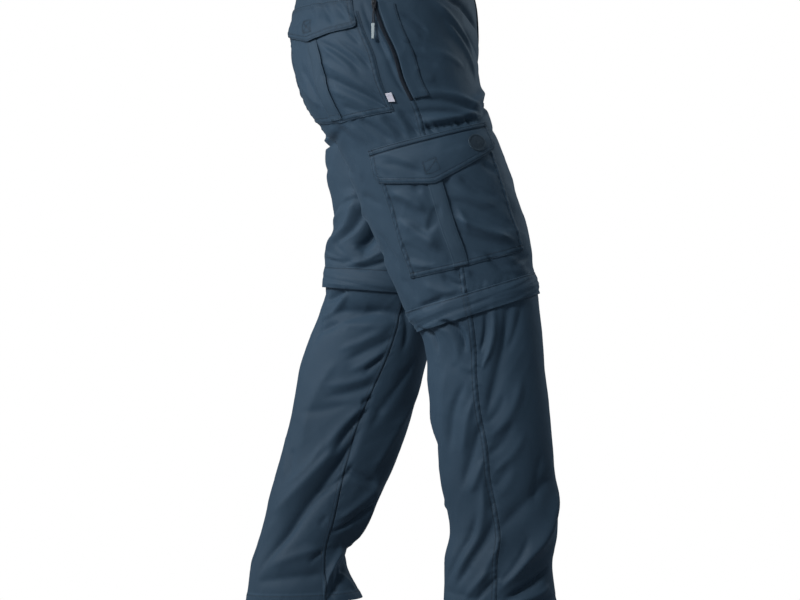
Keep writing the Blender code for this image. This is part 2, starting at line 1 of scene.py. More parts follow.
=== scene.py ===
"""The looks of the zip-off trousers: fine cloth over the frame, seams, stitching, zips, light."""

import math

import bmesh
import bpy
import numpy as np
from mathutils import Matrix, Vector


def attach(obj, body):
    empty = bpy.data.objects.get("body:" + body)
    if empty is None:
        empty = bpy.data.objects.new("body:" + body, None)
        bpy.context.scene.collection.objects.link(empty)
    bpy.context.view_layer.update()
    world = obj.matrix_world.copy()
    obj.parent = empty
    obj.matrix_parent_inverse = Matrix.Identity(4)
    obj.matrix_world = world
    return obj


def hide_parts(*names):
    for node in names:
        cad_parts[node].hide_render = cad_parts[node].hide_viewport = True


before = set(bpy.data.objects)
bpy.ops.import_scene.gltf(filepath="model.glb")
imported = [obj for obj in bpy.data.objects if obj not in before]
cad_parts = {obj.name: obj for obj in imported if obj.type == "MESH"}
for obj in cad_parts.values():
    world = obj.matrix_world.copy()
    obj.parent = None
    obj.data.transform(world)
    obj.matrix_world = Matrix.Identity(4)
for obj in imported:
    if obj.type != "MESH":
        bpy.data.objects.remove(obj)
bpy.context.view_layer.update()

MM = 0.001
RIGHT, LEFT = -1, 1
SIDES = ((RIGHT, "R"), (LEFT, "L"))

# Named sizes, in millimetres.
BAND_HEIGHT = 40.0  # waistband
ZIP_HEIGHT = 20.0  # knee zip with its tapes
SQUARE = 0.035  # how far the sections fill out towards their corners

# Sections, in millimetres. back_x, back_z and front_x, front_z: where the section meets the
# back and the front outline. outer, inner: distance of its two sides from the centre plane.
# seam, inseam: how far forward of the middle the side seam and inseam run, % of the depth.

# Above the crotch both legs share one section, cut at the centre plane, and 'inner' is then
# where the leg's own section would reach past it (negative).
HIP = (
    ("waist", -129, 0, 126, 0, 158, -158, 0, 0),
    ("band_foot", -137, -40, 134, -40, 166, -166, 0, 0),
    ("yoke", -147, -84, 144, -82, 178, -176, -4, 0),
    ("high_hip", -152, -129, 147, -126, 189, -168, 0, 0),
    ("hip", -148, -177, 147, -168, 195, -115, 6, 0),
    ("seat", -134, -223, 148, -206, 196, -52, 8, 0),
    ("crotch", -100, -281, 161, -255, 194, 1, 9, 0),
)
LEG = {
    RIGHT: (
        ("thigh_top", -75, -316, 169, -278, 192, 3, 6, 3),
        ("cargo_top", -53, -369, 183, -319, 189, 7, 4, 6),
        ("thigh_mid", -31, -421, 199, -363, 185, 11, 2, 8),
        ("thigh_low", -9, -471, 213, -407, 181, 15, 0, 10),
        ("cargo_foot", 10, -520, 226, -454, 177, 19, 0, 10),
        ("band_line", 32, -570, 233, -509, 173, 24, -3, 10),
        ("flap_foot", 52, -599, 238, -541, 171, 27, -6, 10),
        ("knee", 65, -640, 244, -594, 168, 30, -8, 10),
        ("below_knee", 68, -690, 249, -655, 166, 33, -9, 10),
        ("calf_top", 73, -740, 257, -715, 163, 36, -9, 10),
        ("calf", 81, -791, 262, -772, 160, 38, -7, 10),
        ("calf_low", 87, -841, 266, -829, 157, 39, -7, 10),
        ("shin", 98, -885, 270, -879, 154, 39, -6, 12),
        ("ankle_break", 101, -920, 270, -920, 152, 38, -4, 14),
        ("ankle", 93, -958, 262, -961, 151, 36, -2, 14),
        ("cuff", 92, -999, 265, -1002, 150, 35, -3, 12),
        ("hem", 92, -1050, 275, -1054, 149, 35, -6, 10),
    ),
    LEFT: (
        ("thigh_top", -101, -307, 150, -292, 192, 3, 6, 3),
        ("cargo_top", -98, -350, 135, -342, 189, 7, 4, 8),
        ("thigh_mid", -88, -393, 122, -391, 185, 11, 2, 12),
        ("thigh_low", -86, -433, 109, -436, 181, 15, 0, 16),
        ("cargo_foot", -100, -469, 99, -477, 177, 19, 0, 18),
        ("band_line", -100, -497, 92, -507, 173, 24, -3, 19),
        ("flap_foot", -100, -530, 89, -543, 171, 27, -6, 20),
        ("knee", -111, -575, 77, -596, 168, 30, -8, 20),
        ("below_knee", -129, -621, 66, -651, 166, 33, -9, 18),
        ("calf_top", -143, -664, 51, -709, 163, 36, -9, 14),
        ("calf", -153, -717, 34, -768, 160, 38, -7, 9),
        ("calf_low", -164, -773, 13, -824, 157, 39, -7, 9),
        ("shin", -177, -822, -12, -877, 154, 39, -6, 13),
        ("ankle_break", -192, -875, -38, -923, 152, 38, -4, 20),
        ("ankle", -205, -931, -67, -961, 151, 36, -2, 28),
        ("cuff", -222, -984, -65, -989, 150, 35, -3, 28),
        ("hem", -231, -1050, -40, -1042, 149, 35, -6, 20),
    ),
}


# Depths of the landmarks down the side seam, in millimetres. They are the same on both legs: the
# left thigh, which is on its way back, bunches up and so reaches them sooner.
PATTERN = {"waist": 0, "crotch": 285, "band_line": 571, "flap_foot": 604, "hem": 1086}
ZIP_TOP = 576.0  # lower edge of the upper panels
ZIP_FOOT = ZIP_TOP + ZIP_HEIGHT  # upper edge of the zip-off legs


def smooth(keys, values, at):
    """A smooth curve through the rows of values at keys, read at the given places."""
    at = np.asarray(at, float)
    slopes = np.gradient(values, keys, axis=0)
    i = np.clip(np.searchsorted(keys, at, side="right") - 1, 0, len(keys) - 2)
    h = (keys[i + 1] - keys[i])[..., None]
    t = (at - keys[i])[..., None] / h
    return (
        values[i] * (1 + 2 * t) * (1 - t) ** 2
        + values[i + 1] * t * t * (3 - 2 * t)
        + h * (slopes[i] * t * (1 - t) ** 2 - slopes[i + 1] * t * t * (1 - t))
    )


class Leg:
    """Half the garment: one leg with its half of the hips, in millimetres."""

    ROWS, ROUND = 361, 145

    def __init__(self, side):
        self.side = side
        rows = HIP + LEG[side]
        self.names = [row[0] for row in rows]
        self.values = np.array([row[1:] for row in rows], float)
        middle = (self.values[:, 0:2] + self.values[:, 2:4]) / 2
        self.keys = np.concatenate([[0.0], np.cumsum(np.hypot(*np.diff(middle, axis=0).T))])
        self.crotch = self.keys[len(HIP) - 1]
        self.s_rows = np.linspace(0, self.keys[-1], self.ROWS)
        u = np.linspace(-1, 1, self.ROUND)
        grid = self.raw(u[None, :] + 0 * self.s_rows[:, None], self.s_rows[:, None] + 0 * u)
        arc = np.linalg.norm(np.diff(grid, axis=1), axis=2)
        half = self.ROUND // 2
        self.front_g = arc[:, half:].sum(axis=1)
        self.back_g = arc[:, :half].sum(axis=1)
        run = np.concatenate([np.zeros((self.ROWS, 1)), np.cumsum(arc, axis=1)], axis=1)
        run -= run[:, half : half + 1]
        self.share_rows = np.where(run >= 0, run / self.front_g[:, None], run / self.back_g[:, None])
        self.u_rows = np.array([np.interp(u, share, u) for share in self.share_rows])
        seam = np.linalg.norm(np.diff(grid[:, half], axis=0), axis=1)
        down = np.concatenate([[0.0], np.cumsum(seam)])
        marks = [np.interp(self.keys[self.names.index(name)], self.s_rows, down) for name in PATTERN]
        self.d_rows = np.interp(down, marks, list(PATTERN.values()))

    def raw(self, u, s):
        """The point at share u of the turn (-1 back edge, 0 side seam, 1 front edge)."""
        row = smooth(self.keys, self.values, s)
        back_x, back_z, front_x, front_z, outer, inner, seam, inseam = np.moveaxis(row, -1, 0)
        centre = (outer + inner) / 2
        width = (outer - inner) / 2
        edge = 0.3 + 0.75 * np.clip(centre / width, 0, 1)
        stop = np.where(s < self.crotch, np.arccos(np.clip(-(centre - edge) / width, -1, 1)), np.pi)
        lead = np.arcsin(2 * seam / 100) * (1 - u * u) ** 2
        trail = np.arcsin(2 * inseam / 100) * u**4
        turn = u * stop + lead - trail
        fill = 1 + SQUARE * np.sin(2 * turn) ** 2 * np.clip(np.cos(turn), 0, 1)
        along = np.sin(turn) * fill
        x = (back_x + front_x) / 2 + along * (front_x - back_x) / 2
        y = centre + width * np.cos(turn) * fill
        z = (back_z + front_z) / 2 + along * (front_z - back_z) / 2
        return np.stack([x, self.side * y, z], axis=-1)

    def s_at(self, d):
        return np.interp(d, self.d_rows, self.s_rows)

    def reach(self, d, front):
        """How far round the panel goes at depth d."""
        return np.interp(d, self.d_rows, self.front_g if front else self.back_g)

    def read(self, table, share, s):
        """Bilinear reading of a table of rows s and shares -1 to 1."""
        row = np.clip(s / self.keys[-1] * (self.ROWS - 1), 0, self.ROWS - 1.001)
        col = np.clip((share + 1) / 2 * (self.ROUND - 1), 0, self.ROUND - 1.001)
        i, j = row.astype(int), col.astype(int)
        a, b = row - i, col - j
        upper = table[i, j] * (1 - b) + table[i, j + 1] * b
        lower = table[i + 1, j] * (1 - b) + table[i + 1, j + 1] * b
        return upper * (1 - a) + lower * a

    def u_of(self, g, d):
        share = np.where(g >= 0, g / self.reach(d, True), g / self.reach(d, False))
        return self.read(self.u_rows, np.clip(share, -1, 1), self.s_at(d))

    def g_of(self, u, d):
        share = self.read(self.share_rows, u, self.s_at(d))
        return share * np.where(share >= 0, self.reach(d, True), self.reach(d, False))

    def normal(self, u, s):
        u1, u0 = np.clip(u + 0.004, -1, 1), np.clip(u - 0.004, -1, 1)
        s1, s0 = np.clip(s + 1.5, 0, self.keys[-1]), np.clip(s - 1.5, 0, self.keys[-1])
        across = self.raw(u1, s) - self.raw(u0, s)
        down = self.raw(u, s1) - self.raw(u, s0)
        out = np.cross(across, down) * self.side
        return out / np.linalg.norm(out, axis=-1, keepdims=True)

    def at_u(self, u, d, lift=0.0):
        """Points at (u, d), lifted off the middle of the cloth."""
        u, d, lift = np.broadcast_arrays(np.asarray(u, float), np.asarray(d, float), np.asarray(lift, float))
        s = self.s_at(d)
        return self.raw(u, s) + self.normal(u, s) * lift[..., None]

    def at(self, g, d, lift=0.0):
        """Points at (g, d), lifted off the middle of the cloth."""
        g, d = np.broadcast_arrays(np.asarray(g, float), np.asarray(d, float))
        return self.at_u(self.u_of(g, d), d, lift)


# The folds, in millimetres and in the cut's own coordinates: leg and layer, g and d of the two
# ends, how far the middle bows sideways, half the width, how far the cloth stands out (+) or sinks
# (-), and how much steeper one flank is than the other (-1 to 1).
FOLDS = (
    # Right hip, in front of the pocket.
    (RIGHT, "leg", 88, 92, 158, 177, 8.1, 10, 5.0, -0.3),
    (RIGHT, "leg", 113, 87, 227, 129, 6.4, 8, -6.5, 0.2),
    (RIGHT, "leg", 110, 130, 148, 224, 6.4, 7, 4.0, -0.4),
    (RIGHT, "leg", 150, 138, 208, 196, 4.8, 7, -3.0, 0.2),
    (RIGHT, "leg", 33, 117, 65, 147, 3.2, 5, -3.0, 0),
    (RIGHT, "leg", 26, 132, 49, 159, 3.2, 5, 2.0, 0),
    (RIGHT, "leg", 20, 166, 46, 180, 1.6, 5, -2.0, 0),
    (RIGHT, "leg", 24, 188, 59, 207, 1.6, 5, -2.2, 0),
    (RIGHT, "leg", 22, 206, 48, 230, 1.6, 6, 1.6, 0),
    (RIGHT, "leg", 60, 180, 113, 208, 3.2, 8, 1.8, 0),
    (RIGHT, "leg", 13, 262, 108, 292, 6.4, 6, -4.0, 0),
    (RIGHT, "leg", 23, 249, 112, 278, 6.4, 7, 3.0, 0),
    (RIGHT, "leg", -12, 282, 90, 300, 4.8, 6, -3.6, 0),
    (RIGHT, "leg", -3, 297, 99, 288, -3.2, 8, 5.0, 0),
    (RIGHT, "leg", -9, 309, 112, 298, -1.6, 6, -4.6, 0),
    (RIGHT, "leg", 33, 232, 58, 250, 1.6, 7, -1.4, 0),
    # Right seat and its pocket.
    (RIGHT, "leg", -115, 159, -62, 210, 3.2, 6, -4.6, 0),
    (RIGHT, "leg", -113, 172, -70, 218, 3.2, 7, 3.0, 0),
    (RIGHT, "leg", -80, 162, -46, 207, 3.2, 5, -3.4, 0),
    (RIGHT, "leg", -62, 142, -51, 168, 1.6, 5, -2.6, 0),
    (RIGHT, "leg", -88, 159, -56, 196, 1.6, 5, 2.0, 0),
    (RIGHT, "leg", -124, 192, -52, 244, 3.2, 8, 3.4, 0),
    (RIGHT, "leg", -125, 212, -42, 276, 4.8, 7, -5.4, 0),
    (RIGHT, "leg", -122, 234, -65, 276, 4.8, 8, 2.6, 0),
    (RIGHT, "leg", -113, 261, -82, 280, 1.6, 6, -2.6, 0),
    (RIGHT, "leg", -101, 87, -79, 135, 3.2, 7, -4.0, 0),
    (RIGHT, "leg", -121, 86, -101, 129, 1.6, 7, 2.6, 0),
    (RIGHT, "leg", -73, 90, -55, 126, 1.6, 6, -2.2, 0),
    (RIGHT, "leg", -58, 94, -46, 130, 1.6, 5, 1.8, 0),
    (RIGHT, "leg", -22, 100, -17, 192, 0, 5, -3.0, 0),
    (RIGHT, "leg", -17, 192, -9, 250, 0, 5, -2.4, 0),
    (RIGHT, "leg", -14, 128, -10, 198, 0, 4.5, 1.8, 0),
    (RIGHT, "leg", -182, 198, -162, 230, 1.6, 6, -2.6, 0),
    (RIGHT, "leg", -203, 218, -154, 260, 3.2, 7, 2.4, 0),
    (RIGHT, "leg", -163, 220, -160, 266, 1.6, 7, -2.0, 0),
    # Right leg between the pockets.
    (RIGHT, "leg", -99, 282, -54, 320, 1.6, 5, -4.6, 0),
    (RIGHT, "leg", -112, 288, -84, 318, 1.6, 5, 2.4, 0),
    (RIGHT, "leg", -58, 284, -31, 318, 1.6, 5, -4.2, 0),
    (RIGHT, "leg", -72, 280, -44, 316, 1.6, 5, 2.6, 0),
    (RIGHT, "leg", -30, 276, -12, 316, 1.6, 5, -3.8, 0),
    (RIGHT, "leg", -117, 282, -79, 322, 1.6, 5, -3.2, 0),
    (RIGHT, "leg", -154, 284, -120, 310, 1.6, 6, -2.4, 0),
    (RIGHT, "leg", -139, 278, -94, 315, 1.6, 5, 2.0, 0),
    (RIGHT, "leg", -40, 272, -26, 316, 1.6, 5, 2.6, 0),
    (RIGHT, "leg", -138, 386, -103, 406, 1.6, 8, -2.4, 0),
    (RIGHT, "leg", -127, 442, -107, 502, 3.2, 9, -2.6, 0),
    (RIGHT, "leg", -130, 320, -124, 364, 1.6, 10, 2.0, 0),
    # Right thigh pocket.
    (RIGHT, "bag", -88, 402, -38, 468, 3.2, 10, -8.0, 0),
    (RIGHT, "bag", -74, 392, -32, 429, 3.2, 9, 4.0, 0),
    (RIGHT, "bag", -37, 462, -11, 429, -1.6, 6, -4.4, 0),
    (RIGHT, "bag", -72, 434, -30, 490, 4.8, 12, 6.0, 0),
    (RIGHT, "bag", -95, 470, -45, 508, 3.2, 8, -4.4, 0),
    (RIGHT, "bag", -40, 388, -31, 402, 0, 5, -2.0, 0),
    (RIGHT, "bag", -103, 494, -50, 516, 1.6, 7, 2.0, 0),
    (RIGHT, "bag", 33, 392, 81, 438, -4.8, 5, -3.4, 0),
    (RIGHT, "bag", 19, 405, 73, 452, -3.2, 8, 2.6, 0),
    (RIGHT, "bag", 10, 424, 92, 492, -3.2, 9, -7.4, 0),
    (RIGHT, "bag", 11, 452, 84, 510, -3.2, 8, 5.6, 0),
    (RIGHT, "bag", 8, 488, 72, 534, -3.2, 8, -6.0, 0),
    (RIGHT, "bag", 5, 477, 84, 530, -4.8, 9, -3.2, 0),
    (RIGHT, "bag", 74, 380, 97, 398, -1.6, 5, -2.2, 0),
    (RIGHT, "bag", 11, 412, 20, 480, 3.2, 6, 2.0, 0),
    # Right thigh flap.
    (RIGHT, "flap", -79, 332, -23, 363, 3.2, 9, 2.0, 0),
    (RIGHT, "flap", -74, 348, -20, 376, 3.2, 7, -2.2, 0),
    (RIGHT, "flap", 16, 345, 68, 340, 0, 9, -1.0, 0),
    (RIGHT, "flap", -88, 352, -67, 372, 0, 5, -1.2, 0),
    # Right thigh, between the pocket and the knee band.
    (RIGHT, "leg", -35, 531, -1, 558, -4.8, 5, -4.4, 0),
    (RIGHT, "leg", -65, 537, -12, 562, -6.4, 8, 4.0, 0),
    (RIGHT, "leg", -105, 519, -84, 558, 1.6, 7, -2.4, 0),
    (RIGHT, "leg", -79, 570, -39, 566, -1.6, 5, -4.6, 0),
    (RIGHT, "leg", 39, 520, 78, 566, -3.2, 5, -4.2, 0),
    (RIGHT, "leg", 56, 522, 107, 556, -3.2, 6, 2.6, 0),
    (RIGHT, "leg", 8, 540, 33, 566, -1.6, 5, -2.8, 0),
    (RIGHT, "leg", 82, 548, 125, 543, 0, 5, -2.6, 0),
    (RIGHT, "leg", -12, 528, -4, 546, 0, 4.5, -2.6, 0),
    (RIGHT, "leg", 58, 552, 117, 567, 0, 6, 1.8, 0),
    # Right leg below the knee.
    (RIGHT, "leg", -50, 598, -17, 654, 9.7, 5, -7.4, 0),
    (RIGHT, "leg", -61, 606, -29, 666, 9.7, 6, 3.6, 0),
    (RIGHT, "leg", -96, 600, -66, 646, 8.1, 5.5, -6.6, 0),
    (RIGHT, "leg", -32, 600, -10, 662, 8.1, 8, 3.0, 0),
    (RIGHT, "leg", 21, 608, 7, 662, 3.2, 4.5, -4.0, 0),
    (RIGHT, "leg", 33, 606, 10, 687, 4.8, 5, 4.4, 0.2),
    (RIGHT, "leg", 56, 612, 10, 758, 4.8, 13, -5.6, 0.3),
    (RIGHT, "leg", 82, 610, 50, 675, 1.6, 6, -2.0, 0),
    (RIGHT, "leg", 68, 610, 49, 664, 1.6, 6, 1.2, 0),
    (RIGHT, "leg", 70, 716, 9, 795, 9.7, 12, 3.6, 0),
    (RIGHT, "leg", 39, 736, 5, 776, 4.8, 7, -2.2, 0),
    (RIGHT, "leg", 46, 778, -1, 825, 4.8, 9, -2.6, 0),
    (RIGHT, "leg", 60, 798, 7, 850, 4.8, 11, 2.4, 0),
    (RIGHT, "leg", 31, 838, 3, 876, 3.2, 8, -1.4, 0),
    (RIGHT, "leg", 39, 850, 8, 890, 3.2, 10, 1.2, 0),
    (RIGHT, "leg", -23, 711, -60, 806, -4.8, 9, -4.0, 0),
    (RIGHT, "leg", -9, 734, -40, 816, -1.6, 8, 4.0, 0),
    (RIGHT, "leg", 1, 770, -44, 870, -3.2, 10, -5.0, 0),
    (RIGHT, "leg", -40, 676, 3, 704, 2, 8, -2.4, 0),
    (RIGHT, "leg", -34, 678, -3, 693, 0, 7, 2.4, 0),
    (RIGHT, "leg", -53, 684, -77, 828, -1.6, 12, 2.6, 0),
    (RIGHT, "leg", -9, 831, -34, 880, 1.6, 8, 4.0, 0),
    (RIGHT, "leg", -5, 860, -7, 916, 1.6, 7, -4.2, 0),
    (RIGHT, "leg", -14, 874, -68, 1022, 8.1, 9, 4.2, 0),
    (RIGHT, "leg", -34, 920, -91, 1029, 3.2, 6, -3.6, 0),
    (RIGHT, "leg", -5, 922, -64, 1030, 1.6, 9, -5.0, 0),
    (RIGHT, "leg", 1, 951, -31, 1030, 3.2, 11, 4.0, 0),
    (RIGHT, "leg", 43, 956, 9, 1020, 6.4, 6, -3.4, 0),
    (RIGHT, "leg", 0, 940, 112, 862, 4.0, 16, -4.4, 0),
    (RIGHT, "leg", 120, 884, 8, 1032, 4.0, 18, 10.0, 0),
    (RIGHT, "leg", 16, 1048, 85, 1006, -3.2, 7, -9.0, 0),
    (RIGHT, "leg", 25, 1054, 92, 1032, -3.2, 7, 4.0, 0),
    (RIGHT, "leg", -34, 1056, 3, 1016, 1.6, 4.5, -4.4, 0),
    (RIGHT, "leg", -51, 1054, -13, 1008, 1.6, 7, 3.6, 0),
    (RIGHT, "leg", 51, 1058, 123, 1052, 0, 6, -4.0, 0),
    (RIGHT, "leg", -99, 1042, -31, 1050, 0, 9, -2.2, 0),
    (RIGHT, "leg", 86, 832, 62, 906, 0, 10, -2.0, 0),
    # Left thigh, seen between the legs.
    (LEFT, "leg", -253, 414, -147, 484, 3.2, 12, 3.4, 0),
    (LEFT, "leg", -253, 448, -196, 520, 1.6, 11, -5.5, 0),
    (LEFT, "leg", -250, 458, -202, 524, -3.2, 7, 1.6, 0),
    (LEFT, "leg", -262, 470, -232, 538, -1.6, 14, -6.0, 0),
    (LEFT, "leg", -159, 543, -207, 560, 1.6, 4.5, 3.0, 0),
    (LEFT, "leg", -148, 555, -221, 561, 0, 4.5, -3.0, 0),
    (LEFT, "leg", -283, 532, -204, 566, -3.2, 5, 3.6, 0),
    (LEFT, "leg", -283, 552, -220, 573, -1.6, 5, -4.4, 0),
    (LEFT, "leg", -188, 514, -210, 543, 1.6, 4.5, -2.2, 0),
    (LEFT, "leg", -228, 526, -242, 546, 0, 7, 3.0, 0),
    (LEFT, "leg", -246, 420, -162, 536, -4, 20, 10.0, 0),
    (LEFT, "leg", -282, 430, -240, 548, 0, 24, -16.0, 0),
    # Left leg below the knee, seen between the legs.
    (LEFT, "leg", -300, 594, -140, 598, 0, 16, 4.0, 0),
    (LEFT, "leg", -300, 640, -155, 646, 6, 20, -9.0, 0),
    (LEFT, "leg", -145, 627, -196, 607, 0, 6, -6.0, 0),
    (LEFT, "leg", -193, 604, -141, 658, -8.1, 4.5, 5.0, 0),
    (LEFT, "leg", -146, 682, -258, 634, -6.4, 12, -5.5, 0),
    (LEFT, "leg", -176, 658, -274, 652, 3.2, 10, 3.0, 0),
    (LEFT, "leg", -280, 670, -217, 714, -1.6, 8, -3.4, 0),
    (LEFT, "leg", -269, 658, -203, 700, -1.6, 8, 2.6, 0),
    (LEFT, "leg", -274, 700, -250, 726, 0, 5, -4.4, 0),
    (LEFT, "leg", -274, 692, -227, 728, -1.6, 7, 3.0, 0),
    (LEFT, "leg", -275, 736, -199, 774, -3.2, 9, -4.0, 0),
    (LEFT, "leg", -264, 728, -193, 759, -3.2, 8, 2.6, 0),
    (LEFT, "leg", -235, 777, -156, 810, -1.6, 10, -2.6, 0),
    (LEFT, "leg", -271, 758, -255, 774, 0, 4.5, -3.6, 0),
    (LEFT, "leg", -266, 780, -218, 852, 1.6, 7, -6.0, 0),
    (LEFT, "leg", -257, 776, -200, 854, 1.6, 9, 3.4, 0),
    (LEFT, "leg", -256, 812, -150, 1030, -3.2, 13, -10.0, 0.2),
    (LEFT, "leg", -226, 836, -105, 1029, 0, 17, 7.0, 0),
    (LEFT, "leg", 168, 876, 108, 988, 0, 18, 8.0, 0),
    (LEFT, "leg", -254, 864, -210, 918, -3.2, 5, -4.0, 0),
    (LEFT, "leg", -120, 854, -143, 916, 0, 5, 2.6, 0),
    (LEFT, "leg", -199, 844, -152, 922, -4.8, 6, 3.0, 0),
    (LEFT, "leg", -145, 866, -155, 906, 0, 7, -2.0, 0),
    (LEFT, "leg", -241, 867, -305, 878, 3.2, 6, -5.0, 0),
    (LEFT, "leg", 214, 880, 163, 891, 0, 7, 2.4, 0),
    (LEFT, "leg", 143, 886, 175, 968, -3.2, 6, -6.0, 0),
    (LEFT, "leg", 166, 882, 188, 946, -3.2, 8, 3.4, 0),
    (LEFT, "leg", -270, 986, -266, 1070, 0, 5, 5.0, 0),
    (LEFT, "leg", 106, 1012, 212, 1084, 0, 7, -7.0, 0),
    (LEFT, "leg", 150, 1028, 147, 1072, 0, 5, 4.0, 0),
    (LEFT, "leg", 109, 1022, 122, 1060, 0, 6, -4.4, 0),
    (LEFT, "leg", -149, 1054, -260, 1041, 0, 14, -4.4, 0),
    (LEFT, "leg", -165, 1032, -233, 996, 0, 12, 3.0, 0),
    (LEFT, "leg", -238, 1002, -226, 1024, 0, 5, -2.6, 0),
    (LEFT, "leg", -232, 945, -222, 963, 0, 5, -2.0, 0),
    (LEFT, "leg", -263, 765, -293, 777, 0, 8, -2.6, 0),
    (LEFT, "leg", -283, 615, -304, 687, -4.8, 7, -4.0, 0),
    # Right leg, at the back of the knee and round the thigh and cuff.
    (RIGHT, "leg", -262, 306, -138, 296, -8, 7, -3.4, 0.3),
    (RIGHT, "leg", -250, 292, -130, 286, -8, 9, 2.4, 0),
    (RIGHT, "leg", -250, 336, -150, 352, 6, 9, -4, 0.3),
    (RIGHT, "leg", -300, 420, -190, 350, 10, 12, -4.5, 0.2),
    (RIGHT, "leg", -250, 470, -150, 400, 8, 12, 3.5, 0),
    (RIGHT, "leg", -230, 540, -140, 470, 8, 11, -4, 0.2),
    (RIGHT, "leg", -180, 190, -150, 262, 6, 9, -2.6, 0.2),
    (RIGHT, "leg", -180, 606, -130, 660, 4, 8, -4.6, 0.3),
    (RIGHT, "leg", -170, 720, -100, 820, 6, 14, -3.6, 0.2),
    (RIGHT, "leg", -160, 700, -90, 800, 6, 14, 3.2, 0),
    (RIGHT, "leg", -200, 1000, -116, 940, 6, 10, -5, 0.3),
    (RIGHT, "leg", -190, 960, -100, 900, 6, 10, 4, 0),
    (RIGHT, "leg", 112, 292, 232, 268, 10, 9, -6.5, 0.3),
    (RIGHT, "leg", 96, 278, 226, 252, 12, 12, 5, 0),
    (RIGHT, "leg", 130, 318, 240, 330, -8, 10, -3.5, 0.2),
    (RIGHT, "leg", 150, 420, 180, 540, 5, 11, -3.5, 0.2),
    (RIGHT, "leg", 150, 1010, 210, 990, 5, 9, -5.5, 0.3),
    # Left leg, the parts of its back and front that turn away.
    (LEFT, "leg", 196, 700, 226, 800, 6, 12, -3.4, 0.3),
    (LEFT, "leg", 150, 720, 186, 860, 8, 14, 3, 0),
    (LEFT, "leg", 110, 980, 180, 1060, 6, 10, 4.5, 0),
    (LEFT, "leg", -200, 720, -160, 860, 8, 16, 3, 0.1),
    (LEFT, "leg", -150, 960, -110, 1040, 6, 10, -4.4, 0.3),
    (LEFT, "leg", -150, 700, -110, 600, 5, 9, -4.5, 0.2),
    (LEFT, "leg", -250, 430, -150, 470, 6, 10, -4.5, 0.3),
    # Inner side of the right leg.
    (RIGHT, "leg", 176, 620, 240, 700, 8, 10, -4.1, 0.3),
    (RIGHT, "leg", 190, 760, 236, 860, 8, 13, 3.7, 0),
    (RIGHT, "leg", 160, 900, 236, 1000, 8, 13, -4.8, 0.3),
    (RIGHT, "leg", -262, 640, -180, 720, 8, 11, -4.4, 0.3),
    (RIGHT, "leg", -250, 860, -190, 960, 8, 12, 4.1, 0),
    (RIGHT, "leg", 210, 330, 300, 420, 10, 12, -4.1, 0.3),
    (RIGHT, "leg", 230, 440, 250, 550, 8, 12, 3.4, 0),
    # Left hip, seat and outer side, made like the right.
    (LEFT, "leg", 134, 96, 180, 146, 6, 9, -6.1, 0.3),
    (LEFT, "leg", 146, 144, 138, 222, 5, 10, 3.7, 0.2),
    (LEFT, "leg", 38, 156, 100, 220, 8, 8, -3.1, 0.2),
    (LEFT, "leg", 36, 208, 108, 266, 6, 7, -3.2, 0.3),
    (LEFT, "leg", 46, 194, 112, 250, 6, 8, 2.4, 0),
    (LEFT, "leg", 14, 290, 104, 306, 9, 8, -5.1, 0.2),
    (LEFT, "leg", 110, 300, 232, 272, 10, 10, -6.1, 0.3),
    (LEFT, "leg", 100, 284, 226, 258, 12, 12, 4.4, 0),
    (LEFT, "leg", -124, 166, -62, 214, 5, 7, -3.1, 0.4),
    (LEFT, "leg", -118, 216, -44, 268, 6, 8, -3.4, 0.4),
    (LEFT, "leg", -116, 230, -50, 280, 6, 8, 2.7, 0),
    (LEFT, "leg", -110, 290, -50, 330, 4, 6, -4.1, 0.4),
    (LEFT, "leg", -124, 296, -70, 336, 4, 7, 3.4, 0),
    (LEFT, "leg", -250, 308, -120, 298, -8, 9, -6.5, 0.3),
    (LEFT, "leg", -250, 292, -130, 284, -8, 10, 4.1, 0),
    (LEFT, "leg", -210, 360, -110, 420, 8, 12, -3.4, 0.2),
    (LEFT, "leg", 140, 350, 190, 470, 8, 12, -3.4, 0.2),
    (LEFT, "leg", 180, 420, 230, 540, 8, 12, 3.1, 0),
    (LEFT, "bag", -88, 402, -28, 462, 7, 10, -5.1, 0.5),
    (LEFT, "bag", -34, 460, -6, 424, 4, 8, -4.1, 0.4),
    (LEFT, "bag", 10, 420, 92, 474, 8, 13, 3.7, 0.2),
    (LEFT, "bag", 16, 460, 98, 512, 8, 12, -3.4, 0.3),
    (LEFT, "bag", -80, 480, -30, 520, 5, 11, 3.1, 0),
    (LEFT, "leg", -60, 600, -18, 672, 3, 8, -5.1, 0.4),
    (LEFT, "leg", -90, 606, -46, 660, 4, 8, 3.7, 0),
    (LEFT, "leg", 20, 604, 60, 720, 6, 11, -3.4, 0.2),
    (LEFT, "leg", -60, 760, 20, 700, 6, 10, -4.1, 0.3),
    (LEFT, "leg", -70, 860, 10, 790, 6, 11, 4.1, 0.1),
    (LEFT, "leg", -60, 940, 30, 850, 6, 12, -5.1, 0.3),
    (LEFT, "leg", 20, 900, 96, 1000, 8, 18, 5.1, 0.1),
    (LEFT, "leg", -70, 1040, -20, 920, -6, 10, 5.4, 0.3),
    (LEFT, "leg", 10, 1050, 90, 1004, 8, 10, -6.1, 0.3),
)


def lattice(seed, size=64):
    return np.random.default_rng(seed).uniform(-1, 1, (size, size))


def mottle(x, y, table):
    """Smooth noise of about -1 to 1, one lump a unit."""
    x, y = np.broadcast_arrays(np.asarray(x, float), np.asarray(y, float))
    size = table.shape[0]
    i, j = np.floor(x).astype(int), np.floor(y).astype(int)
    a, b = x - i, y - j
    a, b = a * a * (3 - 2 * a), b * b * (3 - 2 * b)
    i0, j0, i1, j1 = i % size, j % size, (i + 1) % size, (j + 1) % size
    return (
        table[i0, j0] * (1 - a) * (1 - b) + table[i1, j0] * a * (1 - b)
        + table[i0, j1] * (1 - a) * b + table[i1, j1] * a * b
    )


UNEVEN = [lattice(seed) for seed in (11, 12, 13, 14)]


